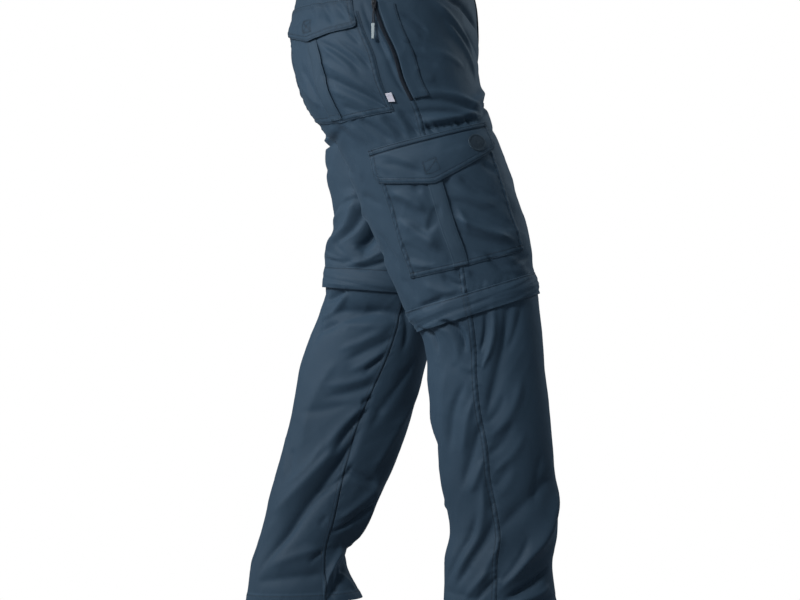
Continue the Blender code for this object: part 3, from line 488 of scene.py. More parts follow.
def pucker(x, seed=0):
    """Uneven waves of about 10 to 23 mm along a seam, from about -1 to 1."""
    shift = 3.7 * seed
    wave = np.sin(x / 1.7 + shift + 0.8 * np.sin(x / 17 + shift)) * 0.6
    wave = wave + np.sin(x / 2.6 + 1.3 * shift) * 0.35 + np.sin(x / 3.7 + 2.1 * shift) * 0.3
    return wave * (0.7 + 0.6 * mottle(x / 31 + seed * 7.7, 0.3 + seed, UNEVEN[0]))


def chain(along, edge, at=0.0, half=None, period=9.6):
    """Lens-shaped puffs between two rows of stitching, from 0 to 1."""
    puffs = np.abs(np.sin(math.pi * (along + 1.6 * np.sin(along / 23)) / period)) ** 0.8
    return puffs * (1.0 if half is None else bump(edge, at, half))


def crinkle(x, y, table, sharp=2.6):
    """Thin raised lines, from 0 to 1, that wander through the cloth."""
    return np.clip(1 - sharp * np.abs(mottle(x, y, table)), 0, 1) ** 1.6


def step(x, edge, soft):
    t = np.clip((x - edge) / soft + 0.5, 0, 1)
    return t * t * (3 - 2 * t)


def area_under(values, places):
    return float(((values[1:] + values[:-1]) / 2 * np.abs(np.diff(places))).sum())


def bump(x, at, half):
    return np.exp(-(((x - at) / half) ** 2))


CREST = 1.8  # the rounding of a fold's top or bottom, in millimetres


def fold_heights(leg, layer, g, d):
    """What the table's folds add to one layer at (g, d)."""
    girth = leg.reach(d, True) + leg.reach(d, False)
    total = np.zeros(np.shape(g))
    for side, on, g0, d0, g1, d1, bow, half, height, lean in FOLDS:
        if side != leg.side or on != layer:
            continue
        dg, dd = g1 - g0, d1 - d0
        length = math.hypot(dg, dd)
        for turn in (-1, 0, 1) if max(d0, d1) > PATTERN["crotch"] else (0,):
            here = g + turn * girth
            along = ((here - g0) * dg + (d - d0) * dd) / length**2
            near = (along > -0.2) & (along < 1.2)
            if not near.any():
                continue
            a = along[near]
            t = np.clip(a, 0, 1)
            across = ((here[near] - g0) * dd - (d[near] - d0) * dg) / length - bow * 4 * t * (1 - t)
            spread = half * (0.55 + 0.45 * np.sin(math.pi * t)) * (1 + lean * np.tanh(across / half))
            fade = np.clip((a + 0.12) / 0.36, 0, 1) * np.clip((1.12 - a) / 0.36, 0, 1)
            fade = fade * fade * (3 - 2 * fade)
            away = (np.sqrt(across**2 + CREST**2) - CREST) / spread
            total[near] += 1.12 * height * fade * np.exp(-1.15 * away - 0.7 * away**2)
    return total


def lie(leg, g, d):
    """The lie of the cloth: the folds of the table and a soft unevenness between them."""
    g, d = np.broadcast_arrays(np.asarray(g, float), np.asarray(d, float))
    shape = g.shape
    g, d = np.atleast_1d(g), np.atleast_1d(d)
    total = fold_heights(leg, "leg", g, d)
    room = np.clip(np.minimum(leg.reach(d, True) - g, leg.reach(d, False) + g) / 20, 0, 1)
    hips = 1 - step(d, PATTERN["crotch"], 12)
    total *= 1 - hips * (1 - room)
    shank = step(d, 590, 60)
    slant = 0.8 * (1 - shank) + 0.25 * shank
    soft = mottle((g - slant * d) / 34 + 9 * leg.side, (d + slant * g * 0.5) / (62 + 50 * shank), UNEVEN[1]) * 1.3
    soft = soft + mottle((g + 0.5 * d) / 19, (d - 0.4 * g) / 43 + 5 * leg.side, UNEVEN[2]) * 0.45
    where = 0.5 + 0.5 * mottle(g / 70 + 3, d / 90 + leg.side, UNEVEN[0])
    slanted = crinkle((g - 0.9 * d) / 27 + 2 * leg.side, (d + 0.6 * g) / 74, UNEVEN[3])
    crossed = crinkle((g + 0.7 * d) / 31, (d - 0.5 * g) / 66 + leg.side, UNEVEN[1])
    soft = soft + 0.75 * slanted * where + 0.6 * crossed * (1 - where)
    gathers = np.clip((66 - np.abs(g - 42)) / 18, 0, 1)
    flap_top = np.interp(g, (-96, 8, 112), (326, 318, 309))
    above = flap_top - d
    soft = soft + gathers * (4.2 * pucker(g + 0.7 * above, 9) * bump(above, 8, 6.5) - 1.0 * bump(above, 5, 4))
    soft = soft + 0.5 * pucker(g + 0.4 * d, 7) * bump(d, 566, 6)
    calm = 0.3 + 0.7 * step(d, 70, 70)
    return (total + soft * calm * room).reshape(shape)


LEGS = {side: Leg(side) for side, _ in SIDES}

CLOTH = 0.7  # thickness of a single layer, in millimetres
OUTER = 0.35  # a panel's outer face, from the middle of the cloth


# ---------------------------------------------------------------- materials


def material(name, colour, roughness, sheen=0.0, metallic=0.0, specular=0.18):
    made = bpy.data.materials.new(name)
    made.use_nodes = True
    shader = made.node_tree.nodes["Principled BSDF"]
    shader.inputs["Base Color"].default_value = (*colour, 1)
    shader.inputs["Roughness"].default_value = roughness
    shader.inputs["Metallic"].default_value = metallic
    shader.inputs["Specular IOR Level"].default_value = specular
    shader.inputs["Sheen Weight"].default_value = sheen
    shader.inputs["Sheen Roughness"].default_value = 0.35
    shader.inputs["Sheen Tint"].default_value = (0.50, 0.74, 1.0, 1)
    return made, made.node_tree, shader


def node(tree, kind, **inputs):
    made = tree.nodes.new(kind)
    for key, value in inputs.items():
        made.inputs[key.replace("_", " ")].default_value = value
    return made


def colour_mix(tree, kind="MIX"):
    """A colour mix: the node, then its factor, two colours and result."""
    made = tree.nodes.new("ShaderNodeMix")
    made.data_type = "RGBA"
    made.blend_type = kind
    return made.inputs["Factor"], made.inputs[6], made.inputs[7], made.outputs[2]


def ranged(tree, source, low, high):
    made = node(tree, "ShaderNodeMapRange")
    made.inputs["To Min"].default_value = low
    made.inputs["To Max"].default_value = high
    tree.links.new(source, made.inputs["Value"])
    return made.outputs["Result"]


def woven(name, colour, light, thread=0.00045, roughness=0.62, sheen=0.10, strength=0.35):
    """Plain-woven cloth: warp and weft, uneven yarns, slight fading, wear on its edges, and painted shade and light
    from a vertex attribute.
    """
    made, tree, shader = material(name, colour, roughness, sheen)
    link = tree.links.new
    cut = node(tree, "ShaderNodeUVMap")
    cut.uv_map = "cut"
    waves = []
    for direction in ("X", "Y"):
        wave = node(tree, "ShaderNodeTexWave", Scale=0.314 / thread, Distortion=0.4, Detail=1.0)
        wave.bands_direction = direction
        link(cut.outputs["UV"], wave.inputs["Vector"])
        waves.append(wave)
    weave = node(tree, "ShaderNodeMath")
    weave.operation = "MULTIPLY"
    link(waves[0].outputs["Fac"], weave.inputs[0])
    link(waves[1].outputs["Fac"], weave.inputs[1])
    yarn = node(tree, "ShaderNodeTexNoise", Scale=1400.0, Detail=2.0)
    fade = node(tree, "ShaderNodeTexNoise", Scale=9.0, Detail=4.0, Roughness=0.55)
    for noise in (yarn, fade):
        link(cut.outputs["UV"], noise.inputs["Vector"])
    factor, a, b, shade = colour_mix(tree)
    a.default_value = (*[c * 0.90 for c in colour], 1)
    b.default_value = (*[c * 1.10 for c in colour], 1)
    link(fade.outputs["Fac"], factor)
    factor, a, b, thready = colour_mix(tree, "MULTIPLY")
    factor.default_value = 0.35
    link(shade, a)
    link(ranged(tree, yarn.outputs["Fac"], 0.72, 1.18), b)
    # The vertex attribute holds edge wear and painted shade and light: above zero it mixes towards the light tone,
    # below zero towards a dark tone that paints shade.
    wear_and_shade = node(tree, "ShaderNodeAttribute")
    wear_and_shade.attribute_name = "wear_and_shade"
    factor, a, b, edged = colour_mix(tree)
    b.default_value = (*light, 1)
    link(wear_and_shade.outputs["Fac"], factor)
    link(thready, a)
    shaded = node(tree, "ShaderNodeMath")
    shaded.operation = "MULTIPLY"
    shaded.inputs[1].default_value = -1.0
    link(wear_and_shade.outputs["Fac"], shaded.inputs[0])
    # painted shade: a much darker copy of the cloth colour
    factor, a, b, deep = colour_mix(tree)
    b.default_value = (*[c * 0.22 for c in colour], 1)
    link(shaded.outputs["Value"], factor)
    link(edged, a)
    link(deep, shader.inputs["Base Color"])
    link(ranged(tree, fade.outputs["Fac"], roughness - 0.06, roughness + 0.08), shader.inputs["Roughness"])
    height = node(tree, "ShaderNodeMath")
    height.operation = "ADD"
    link(weave.outputs["Value"], height.inputs[0])
    link(yarn.outputs["Fac"], height.inputs[1])
    relief = node(tree, "ShaderNodeBump", Strength=strength, Distance=0.00012)
    link(height.outputs["Value"], relief.inputs["Height"])
    link(relief.outputs["Normal"], shader.inputs["Normal"])
    return made


def solid_finish(name, colours, roughness, metallic=0.0, sheen=0.0, grain=900.0, depth=0.0001, strands=0.0):
    """Metal, plastic, thread or cord: a fine uneven surface between two colours."""
    made, tree, shader = material(name, colours[0], roughness, sheen, metallic, 0.5)
    link = tree.links.new
    where = node(tree, "ShaderNodeTexCoord")
    broad = node(tree, "ShaderNodeTexNoise", Scale=170.0, Detail=3.0)
    link(where.outputs["Object"], broad.inputs["Vector"])
    if strands:
        fine = node(tree, "ShaderNodeTexWave", Scale=strands, Distortion=1.5, Detail=2.0)
        fine.bands_direction = "DIAGONAL"
    else:
        fine = node(tree, "ShaderNodeTexNoise", Scale=grain, Detail=3.0)
    link(where.outputs["Object"], fine.inputs["Vector"])
    factor, a, b, shade = colour_mix(tree)
    a.default_value = (*colours[0], 1)
    b.default_value = (*colours[1], 1)
    link((fine if strands else broad).outputs["Fac"], factor)
    link(shade, shader.inputs["Base Color"])
    link(ranged(tree, broad.outputs["Fac"], roughness - 0.1, min(1, roughness + 0.12)), shader.inputs["Roughness"])
    relief = node(tree, "ShaderNodeBump", Strength=0.3, Distance=depth)
    link(fine.outputs["Fac"], relief.inputs["Height"])
    link(relief.outputs["Normal"], shader.inputs["Normal"])
    return made


BLUE = (0.0325, 0.0625, 0.0985)
# PALE: the lighter tone of worn edges, and also painted light where the falloff brightens the thighs
PALE = (0.056, 0.094, 0.137)
FINISH = {
    "cloth": woven("cloth", BLUE, PALE),
    "webbing": woven("webbing", (0.035, 0.065, 0.100), PALE, thread=0.0006, strength=0.5),
    "zip_tape": woven("zip_tape", (0.012, 0.018, 0.028), (0.02, 0.03, 0.04), 0.0006, 0.8, 0.1),
    "label": woven("label", (0.60, 0.59, 0.68), (0.68, 0.68, 0.75), 0.0004, 0.7, 0.1),
    "patch": woven("patch", (0.028, 0.045, 0.064), (0.036, 0.058, 0.080), 0.0005, 0.6, 0.3, 0.6),
    # the thread is darker than the cloth: its own colour and painted shade of the stitch holes and grooves
    "thread": solid_finish("thread", ((0.005, 0.010, 0.018), (0.012, 0.021, 0.034)), 0.6, 0.0, 0.2, 420.0),
    "zip_metal": solid_finish("zip_metal", ((0.018, 0.021, 0.026), (0.030, 0.033, 0.040)), 0.38, 0.7),
    "pull_tip": solid_finish("pull_tip", ((0.27, 0.33, 0.35), (0.36, 0.42, 0.44)), 0.55),
    "button": solid_finish("button", ((0.012, 0.018, 0.027), (0.018, 0.026, 0.038)), 0.36),
    "cord": solid_finish("cord", ((0.006, 0.008, 0.013), (0.020, 0.026, 0.036)), 0.8, 0.0, 0.2, strands=260.0, depth=0.0002),
}


# ---------------------------------------------------------------- cloth pieces


class Sheet:
    """The outer face of a piece of cloth on a grid, which stitches and other pieces can read."""

    def __init__(self, rows, cols, points, normals):
        self.rows, self.cols, self.points, self.normals = rows, cols, points, normals

    def at(self, across, down):
        """Points and outward directions, at places across the columns and down the rows."""
        x = np.clip(np.interp(across, self.cols, np.arange(len(self.cols))), 0, len(self.cols) - 1.0001)
        y = np.clip(np.interp(down, self.rows, np.arange(len(self.rows))), 0, len(self.rows) - 1.0001)
        i, j = y.astype(int), x.astype(int)
        v, u = (y - i)[..., None], (x - j)[..., None]
        found = []
        for table in (self.points, self.normals):
            found.append(
                (table[i, j] * (1 - u) + table[i, j + 1] * u) * (1 - v)
                + (table[i + 1, j] * (1 - u) + table[i + 1, j + 1] * u) * v
            )
        found[1] /= np.linalg.norm(found[1], axis=-1, keepdims=True)
        return found


def grid_normals(points, outward):
    """Unit normals of a grid of points, on the side that the rough directions give."""
    across = np.gradient(points, axis=1)
    down = np.gradient(points, axis=0)
    found = np.cross(across, down)
    found /= np.linalg.norm(found, axis=-1, keepdims=True) + 1e-12
    return found * np.sign((found * outward).sum(axis=-1, keepdims=True) + 1e-12)


def painted_light_falloff(d):
    """Painted light and shade down the leg: darker near the waist and towards the hem, lighter on the thighs."""
    return -0.27 * (1 - step(d, 115, 150)) + 0.18 * bump(d, 420, 130) - 0.17 * step(d, 800, 260)


def shell(name, outer, inner, gd, slot="cloth", closed=False, wear_and_shade=None, replaces=(), body="trousers"):
    """A closed thin wall between two grids of points in mm (rows, columns, 3)."""
    rows, cols = outer.shape[:2]
    count = rows * cols
    index = np.arange(count).reshape(rows, cols)
    west = index if closed else index[:, :-1]
    east = np.roll(index, -1, axis=1) if closed else index[:, 1:]
    top = np.stack([west[:-1], east[:-1], east[1:], west[1:]], -1).reshape(-1, 4)
    normal = np.cross(outer[rows // 2, cols // 2 + 1] - outer[rows // 2, cols // 2], outer[rows // 2 + 1, cols // 2] - outer[rows // 2, cols // 2])
    flip = np.dot(normal, outer[rows // 2, cols // 2] - inner[rows // 2, cols // 2]) > 0
    # top runs west-east-south: its normal is across x down, which has to point outward
    faces = [top, top[:, ::-1] + count]
    rims = [np.stack([west[0], west[0] + count, east[0] + count, east[0]], -1),
            np.stack([east[-1], east[-1] + count, west[-1] + count, west[-1]], -1)]
    if not closed:
        north, south = index[:-1], index[1:]
        rims.append(np.stack([south[:, 0], south[:, 0] + count, north[:, 0] + count, north[:, 0]], -1))
        rims.append(np.stack([north[:, -1], north[:, -1] + count, south[:, -1] + count, south[:, -1]], -1))
    quads = np.concatenate(faces + rims)
    if not flip:
        quads = quads[:, ::-1]
    data = bpy.data.meshes.new(name)
    places = np.concatenate([outer.reshape(-1, 3), inner.reshape(-1, 3)]) * MM
    data.vertices.add(len(places))
    data.vertices.foreach_set("co", places.astype(np.float32).reshape(-1))
    data.loops.add(quads.size)
    data.loops.foreach_set("vertex_index", quads.reshape(-1).astype(np.int32))
    data.polygons.add(len(quads))
    data.polygons.foreach_set("loop_start", np.arange(0, quads.size, 4, dtype=np.int32))
    data.update(calc_edges=True)
    flat = np.concatenate([gd.reshape(-1, 2)] * 2) * MM
    corners = flat[quads.reshape(-1)].reshape(-1, 4, 2)
    if closed:  # the last facet of each row runs on past the end instead of back to the start
        spread = corners[:, :, 0].max(axis=1) - corners[:, :, 0].min(axis=1)
        wrap = spread > 0.05
        low = corners[wrap, :, 0]
        corners[wrap, :, 0] = np.where(low < low.mean(axis=1, keepdims=True), low.max(axis=1, keepdims=True) + 0.003, low)
    cut = data.uv_layers.new(name="cut")
    cut.data.foreach_set("uv", corners.reshape(-1).astype(np.float32))
    # one attribute holds lighter worn edges together with painted shade and light
    wear_and_shade_values = data.attributes.new("wear_and_shade", "FLOAT", "POINT")
    value = np.zeros((rows, cols)) if wear_and_shade is None else np.broadcast_to(wear_and_shade, (rows, cols))
    # cloth and webbing also get the painted light and shade down the leg
    if slot in ("cloth", "webbing"):
        value = value + painted_light_falloff(gd[..., 1])
    value = np.clip(value, -1, 1)
    wear_and_shade_values.data.foreach_set("value", np.concatenate([value.reshape(-1)] * 2).astype(np.float32))
    data.shade_smooth()
    data.materials.append(FINISH[slot])
    data.validate()
    thing = bpy.data.objects.new(name, data)
    bpy.context.scene.collection.objects.link(thing)
    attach(thing, body)
    if replaces:
        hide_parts(*replaces)
    return thing


def laid(leg, g, d, height):
    """Points over the cloth of a leg."""
    return leg.at_u(leg.u_of(g, d), d, height + lie(leg, g, d))


def spaced(length, fine=0.8, coarse=3.4, grow=1.22, keep=10.6):
    """Places from 0 to length, closely spaced near both ends."""
    run, gap = [0.0], fine
    while run[-1] < length / 2:
        run.append(run[-1] + gap)
        if run[-1] > keep:
            gap = min(coarse, gap * grow)
    run = np.array(run) * (length / 2 / run[-1])
    return np.concatenate([run[:-1], [length / 2], length - run[:-1][::-1]])


def groove(edge, at, half=1.1, deep=0.6):
    return -deep * bump(edge, at, half)


def painted_row_shade(edge, *rows, depth=0.55, half=0.9):
    """Painted shade along stitched rows and seam lines, for a piece's wear and shade values."""
    return -depth * sum(bump(edge, row, half) for row in rows)


def seam_height(leg, front, g, d):
    """How a panel's outer face lies near its seams and hem, over OUTER."""
    near = np.abs(g)
    inner = leg.reach(d, front) - near
    side_on = step(d, 262, 10)
    total = 0.8 * side_on * pucker(d - 0.7 * near, 1) * bump(near, 1, 9)
    if not front:  # a felled strip on the back panel, sewn down twice
        total += side_on * (0.45 * (1 - step(near, 9.4, 1.8)) * step(near, 1.0, 3.0) + groove(near, 1.9, deep=0.4) + groove(near, 7.8, deep=0.4))
        total += side_on * (0.4 * pucker(d + 1.2 * near, 11) * bump(near, 4.7, 4) + 0.7 * chain(d, near, 4.8, 2.6))
    total -= 0.25 * side_on * bump(near, 0, 0.8)
    total += 0.9 * pucker(d + 0.8 * inner, 2) * bump(inner, 2, 8 if not front else 5) * step(inner, 0.8, 1.6)
    total -= 0.8 * bump(inner, 0, 1.0) * step(d, PATTERN["crotch"] - 30, 30)
    if not front:
        total += 0.4 * (1 - step(inner, 8.2, 2.4)) * step(inner, 1.2, 3.0) + groove(inner, 2.0, deep=0.3) + groove(inner, 6.8, deep=0.3)
    else:
        total -= 0.35 * bump(inner, 0, 7)
    up = PATTERN["hem"] - d  # folded up and sewn 12 mm from the edge
    total += 0.8 * (1 - step(up, 13.4, 1.8)) - 0.6 * bump(up, 11.6, 1.2)
    total += 0.6 * pucker(g + (3 if front else 61), 3) * bump(up, 12, 9)
    return total


def panel(name, side, front, top, foot):
    leg = LEGS[side]
    sign = 1 if front else -1
    depths = np.linspace(top, foot, int((foot - top) / 3.5) + 1)
    if foot > 1000:
        depths = np.concatenate([depths[depths < foot - 18], np.linspace(foot - 17.6, foot, 14)])
    widest = float(leg.reach(depths, front).max())
    steps = spaced(widest, fine=0.9, coarse=4.2)
    shares = steps / widest
    d = np.repeat(depths[:, None], len(shares), axis=1)
    far = leg.reach(d, front) - np.where(d >= PATTERN["crotch"], 0.15, 0.0)
    g = sign * (0.15 + (far - 0.15) * shares[None, :])
    height = OUTER + seam_height(leg, front, g, d)
    up = PATTERN["hem"] - d
    thick = CLOTH + 0.7 * (1 - step(up, 13.4, 1.8))
    if not front:
        thick = thick + 0.4 * (1 - step(np.minimum(np.abs(g), leg.reach(d, front) - np.abs(g)), 8.4, 1.6))
    outer, inner = laid(leg, g, d, height), laid(leg, g, d, height - thick)
    near, inner_edge = np.abs(g), leg.reach(d, front) - np.abs(g)
    side_on = step(d, 262, 10)
    # hem edges lighter with wear; painted shade along the stitched rows and the seam line, and in the dips between the
    # puffs of the felled strip
    wear_and_shade = 0.5 * bump(up, 0, 1.6) + 0.25 * bump(up, 13.2, 2.0) + painted_row_shade(up, 11.6, depth=0.4)
    wear_and_shade = wear_and_shade + painted_row_shade(near, 0.0, depth=0.12, half=0.8) * side_on + painted_row_shade(inner_edge, 0.0, depth=0.5, half=0.9)
    if not front:
        wear_and_shade = wear_and_shade + side_on * (0.12 * bump(near, 4.7, 1.6) + painted_row_shade(near, 1.9, 7.8, depth=0.3) - 0.35 * (1 - chain(d, near)) * bump(near, 4.8, 3))
        wear_and_shade = wear_and_shade + 0.1 * bump(inner_edge, 4.4, 1.6) + painted_row_shade(inner_edge, 2.0, 6.8, depth=0.15)
    thing = shell(name, outer, inner, np.stack([g, d], -1), wear_and_shade=wear_and_shade, replaces=(name,))
    area = float(area_under(leg.reach(depths, front), depths)) * 1e-6
    return Sheet(depths, shares, outer, grid_normals(outer, outer - inner))


PANELS = {}
for side, tag in SIDES:
    for part, front in (("front", True), ("back", False)):
        PANELS[part, "upper", side] = panel(f"{part}_upper_{tag}", side, front, BAND_HEIGHT + 0.2, ZIP_TOP)
        PANELS[part, "lower", side] = panel(f"{part}_lower_{tag}", side, front, ZIP_FOOT + 0.3, PATTERN["hem"])


# ---------------------------------------------------------------- pockets, flaps and bands


class Laid:
    """A patch's grid on a panel, between its top and foot lines of (g, d) points, with the
    distance of every point from its four edges in mm."""

    def __init__(self, top, foot, fine=0.85, coarse=3.4):
        self.top, self.foot = np.array(top, float), np.array(foot, float)
        self.width = abs(self.top[-1, 0] - self.top[0, 0])
        self.length = float((self.line(self.foot, 0.5) - self.line(self.top, 0.5))[1])
        self.a = spaced(self.width, fine, coarse, keep=10.4) / self.width
        self.b = spaced(self.length, fine, coarse, keep=10.4) / self.length
        up, low = self.line(self.top, self.a), self.line(self.foot, self.a)
        b = self.b[:, None, None]
        gd = up[None] * (1 - b) + low[None] * b
        self.g, self.d = gd[..., 0], gd[..., 1]
        self.west = np.abs(self.g - self.g[:, :1])
        self.east = np.abs(self.g[:, -1:] - self.g)
        self.north = self.d - up[None, :, 1]
        self.south = low[None, :, 1] - self.d
        self.area = float(area_under(low[:, 1] - up[:, 1], np.abs(up[:, 0] - up[0, 0])))

    @staticmethod
    def line(points, a):
        at = (points[:, 0] - points[0, 0]) / (points[-1, 0] - points[0, 0])
        return np.stack([np.interp(a, at, points[:, 0]), np.interp(a, at, points[:, 1])], -1)

    def shares(self, g, d):
        """The place across and down that (g, d) has on the patch."""
        a, b = 0.5, 0.5
        for _ in range(6):
            left = self.top[0, 0] * (1 - b) + self.foot[0, 0] * b
            right = self.top[-1, 0] * (1 - b) + self.foot[-1, 0] * b
            a = (g - left) / (right - left)
            up, low = self.line(self.top, a)[1], self.line(self.foot, a)[1]
            b = (d - up) / (low - up)
        return a, b


def bulge(a, b):
    return (1 - (2 * a - 1) ** 4) * (1 - (2 * b - 1) ** 4)


def roll(edge, wall):
    """The rounding of a folded edge."""
    return -0.35 * wall * np.clip(1 - edge / 0.9, 0, 1) ** 2


def laid_on(name, side, grid, height, wall, slot="cloth", wear_and_shade=0.0, replaces=None):
    leg = LEGS[side]
    edge = np.minimum(np.minimum(grid.west, grid.east), np.minimum(grid.north, grid.south))
    outer = laid(leg, grid.g, grid.d, height + roll(edge, wall))
    inner = laid(leg, grid.g, grid.d, height - wall - roll(edge, wall) * 0.6)
    # lighter worn edges, added to the painted shade that the caller passes in
    wear_and_shade_values = wear_and_shade + 0.45 * bump(edge, 0, 0.9)
    thing = shell(name, outer, inner, np.stack([grid.g, grid.d], -1), slot, wear_and_shade=wear_and_shade_values, replaces=(name,) if replaces is None else replaces)
    return thing, Sheet(grid.b, grid.a, outer, grid_normals(outer, outer - inner))


STITCHES = {}


def sew(group, sheet, across, down, pitch=4.0, long=2.8, thick=0.6, sink=0.0):
    """A row of stitches along a line of places on a sheet. Each one rises out of the cloth in the
    middle and dives into it at both ends."""
    across, down = np.broadcast_arrays(np.asarray(across, float), np.asarray(down, float))
    many = np.linspace(0, len(across) - 1, max(2, len(across) * 120))
    x = np.interp(many, np.arange(len(across)), across)
    y = np.interp(many, np.arange(len(down)), down)
    points, _ = sheet.at(x, y)
    run = np.concatenate([[0.0], np.cumsum(np.linalg.norm(np.diff(points, axis=0), axis=1))])
    if run[-1] < pitch:
        return
    at = np.arange(pitch / 2, run[-1], pitch)
    ends = []
    for shift in (-long / 2, 0.0, long / 2):
        where = np.clip(at + shift, 0, run[-1])
        found = sheet.at(np.interp(where, run, x), np.interp(where, run, y))
        ends.append(found)
    (start, _), (middle, out), (stop, _) = ends
    along = stop - start
    along /= np.linalg.norm(along, axis=1, keepdims=True) + 1e-9
    aside = np.cross(out, along)
    rise = 0.16 - sink
    verts = np.stack(
        [start - out * 0.16, stop - out * 0.16, middle + out * (rise + thick * 0.7), middle - out * 0.3,
         middle + aside * thick + out * rise * 0.4, middle - aside * thick + out * rise * 0.4], 1,
    )
    STITCHES.setdefault(group, []).append(verts.reshape(-1, 3))


OCTAHEDRON = np.array([(0, 2, 4), (0, 4, 3), (0, 3, 5), (0, 5, 2), (1, 4, 2), (1, 3, 4), (1, 5, 3), (1, 2, 5)])


def finish_stitches(name, groups):
    verts = np.concatenate([block for group in groups for block in STITCHES[group]]) * MM
    count = len(verts) // 6
    faces = (OCTAHEDRON[None] + 6 * np.arange(count)[:, None, None]).reshape(-1, 3)
    data = bpy.data.meshes.new(name)
    data.vertices.add(len(verts))
    data.vertices.foreach_set("co", verts.astype(np.float32).reshape(-1))
    data.loops.add(faces.size)
    data.loops.foreach_set("vertex_index", faces.reshape(-1).astype(np.int32))
    data.polygons.add(len(faces))
    data.polygons.foreach_set("loop_start", np.arange(0, faces.size, 3, dtype=np.int32))
    data.update(calc_edges=True)
    data.shade_smooth()
    data.materials.append(FINISH["thread"])
    data.validate()
    thing = bpy.data.objects.new(name, data)
    bpy.context.scene.collection.objects.link(thing)
    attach(thing, "trousers")
    return thing


def sew_edges(group, sheet, grid, edges, offsets=(1.6, 8.2), pitch=4.0):
    """Rows of stitches along the edges of a patch: W, E, N and S."""
    for off in offsets:
        x0 = off / grid.width if "W" in edges else 0.6 / grid.width
        x1 = 1 - off / grid.width if "E" in edges else 1 - 0.6 / grid.width
        y0 = off / grid.length if "N" in edges else 0.6 / grid.length
        y1 = 1 - off / grid.length if "S" in edges else 1 - 0.6 / grid.length
        x, y = np.linspace(x0, x1, 24), np.linspace(y0, y1, 24)
        if "W" in edges:
            sew(group, sheet, np.full(24, off / grid.width), y, pitch)
        if "E" in edges:
            sew(group, sheet, np.full(24, 1 - off / grid.width), y, pitch)
        if "N" in edges:
            sew(group, sheet, x, np.full(24, off / grid.length), pitch)
        if "S" in edges:
            sew(group, sheet, x, np.full(24, 1 - off / grid.length), pitch)


def sew_lines(group, sheet, grid, *lines, pitch=3.2):
    """Rows of stitches along lines of (g, d) points."""
    for line in lines:
        places = [grid.shares(g, d) for g, d in line]
        sew(group, sheet, [p[0] for p in places], [p[1] for p in places], pitch, long=2.6, thick=0.7)


BAG_TOP, BAG_FOOT = ((-90, 350), (105, 340)), ((-88, 523), (-10, 529), (107, 533))
CARGO_STRAP_TOP, CARGO_STRAP_FOOT = ((-18, 362), (4, 362)), ((-15, 526), (8, 528))
CARGO_FLAP_TOP = ((-96, 326), (8, 318), (112, 309))
CARGO_FLAP_FOOT = (
    (-97, 361), (-95.5, 367), (-92, 371.5), (-86, 375), (-52, 383), (-12, 392.5), (-6, 393.2), (0, 392), (42, 380), (106, 359.5), (110.5, 356), (112, 351),
)
BACK_TOP, BACK_FOOT = ((-33, 112), (-230, 112)), ((-38, 277), (-134, 285), (-226, 277))
BACK_STRAP_TOP, BACK_STRAP_FOOT = ((-122, 126), (-146, 126)), ((-123, 280), (-147, 280))
BACK_FLAP_TOP = ((-38, 92), (-236, 92))
BACK_FLAP_FOOT = ((-40, 130), (-42, 136), (-48, 140), (-90, 147), (-132, 157), (-138, 158), (-144, 157), (-188, 147), (-228, 139.5), (-234, 136), (-236, 130))


def sides_of(grid, edges):
    every = (("W", grid.west, grid.d), ("E", grid.east, grid.d), ("S", grid.south, grid.g), ("N", grid.north, grid.g))
    return [side for side in every if side[0] in edges]


def edge_folds(grid, seed, hem=0.45, rows=(1.6, 8.2), edges="WES", live=0.5, reach=5.5):
    """Turned-in, stitched edges: a raised strip, a groove under each row, and puckers."""
    total = np.zeros(grid.g.shape)
    for key, edge, along in sides_of(grid, edges):
        lively = live * 0.6 * pucker(along + 0.9 * edge, seed + ord(key) % 7) * bump(edge, reach, reach) * np.clip(edge / 3.0, 0.35, 1)
        lively = lively + live * 0.6 * chain(along + seed, edge, sum(rows) / len(rows), 2.6)
        total = np.maximum(total, hem * (1 - step(edge, rows[-1] + 1.6, 1.6))) + lively
        for row in rows:
            total += groove(edge, row)
    return total


def edge_shades(grid, edges, rows=(1.6, 8.2), depth=0.5, seed=0):
    """The shade of the stitched rows along a patch's edges, and of the dips between their puffs."""
    total = np.zeros(grid.g.shape)
    for key, edge, along in sides_of(grid, edges):
        uneven = 0.75 + 0.25 * pucker(along + 1.1 * edge, seed + ord(key) % 5)
        total = total + painted_row_shade(edge, *rows, depth=depth) * uneven - depth * 0.7 * (1 - chain(along + seed, edge)) * bump(edge, sum(rows) / len(rows), 3)
    return total


def traced(grid, lines, depth=0.55, half=1.1):
    """The shade of rows of stitches along lines of (g, d) points."""
    near = np.full(grid.g.shape, 99.0)
    for line in lines:
        for (g0, d0), (g1, d1) in zip(line, line[1:]):
            run, fall = g1 - g0, d1 - d0
            share = np.clip(((grid.g - g0) * run + (grid.d - d0) * fall) / (run**2 + fall**2), 0, 1)
            near = np.minimum(near, np.hypot(grid.g - g0 - share * run, grid.d - d0 - share * fall))
    return painted_row_shade(near, 0.0, depth=depth, half=half)


def bag_height(leg, grid):
    height = OUTER + 1.1 + 3.2 * bulge(grid.a[None, :], grid.b[:, None])
    height = height + edge_folds(grid, 5, edges="WE", live=1.9) + edge_folds(grid, 6, edges="S", live=0.8)
    inside = np.clip(np.minimum(np.minimum(grid.west, grid.east), np.minimum(grid.south, grid.north + 20)) / 14, 0, 1)
    height = height + 1.35 * fold_heights(leg, "bag", grid.g, grid.d) * inside
    middle = -6 + 0.02 * (grid.d - 362)
    height = height - 2.4 * bump(grid.g, middle + 16, 6.5) * inside - 1.5 * bump(grid.g, middle - 14.5, 5) * inside
    return np.maximum(height, OUTER + 0.95)


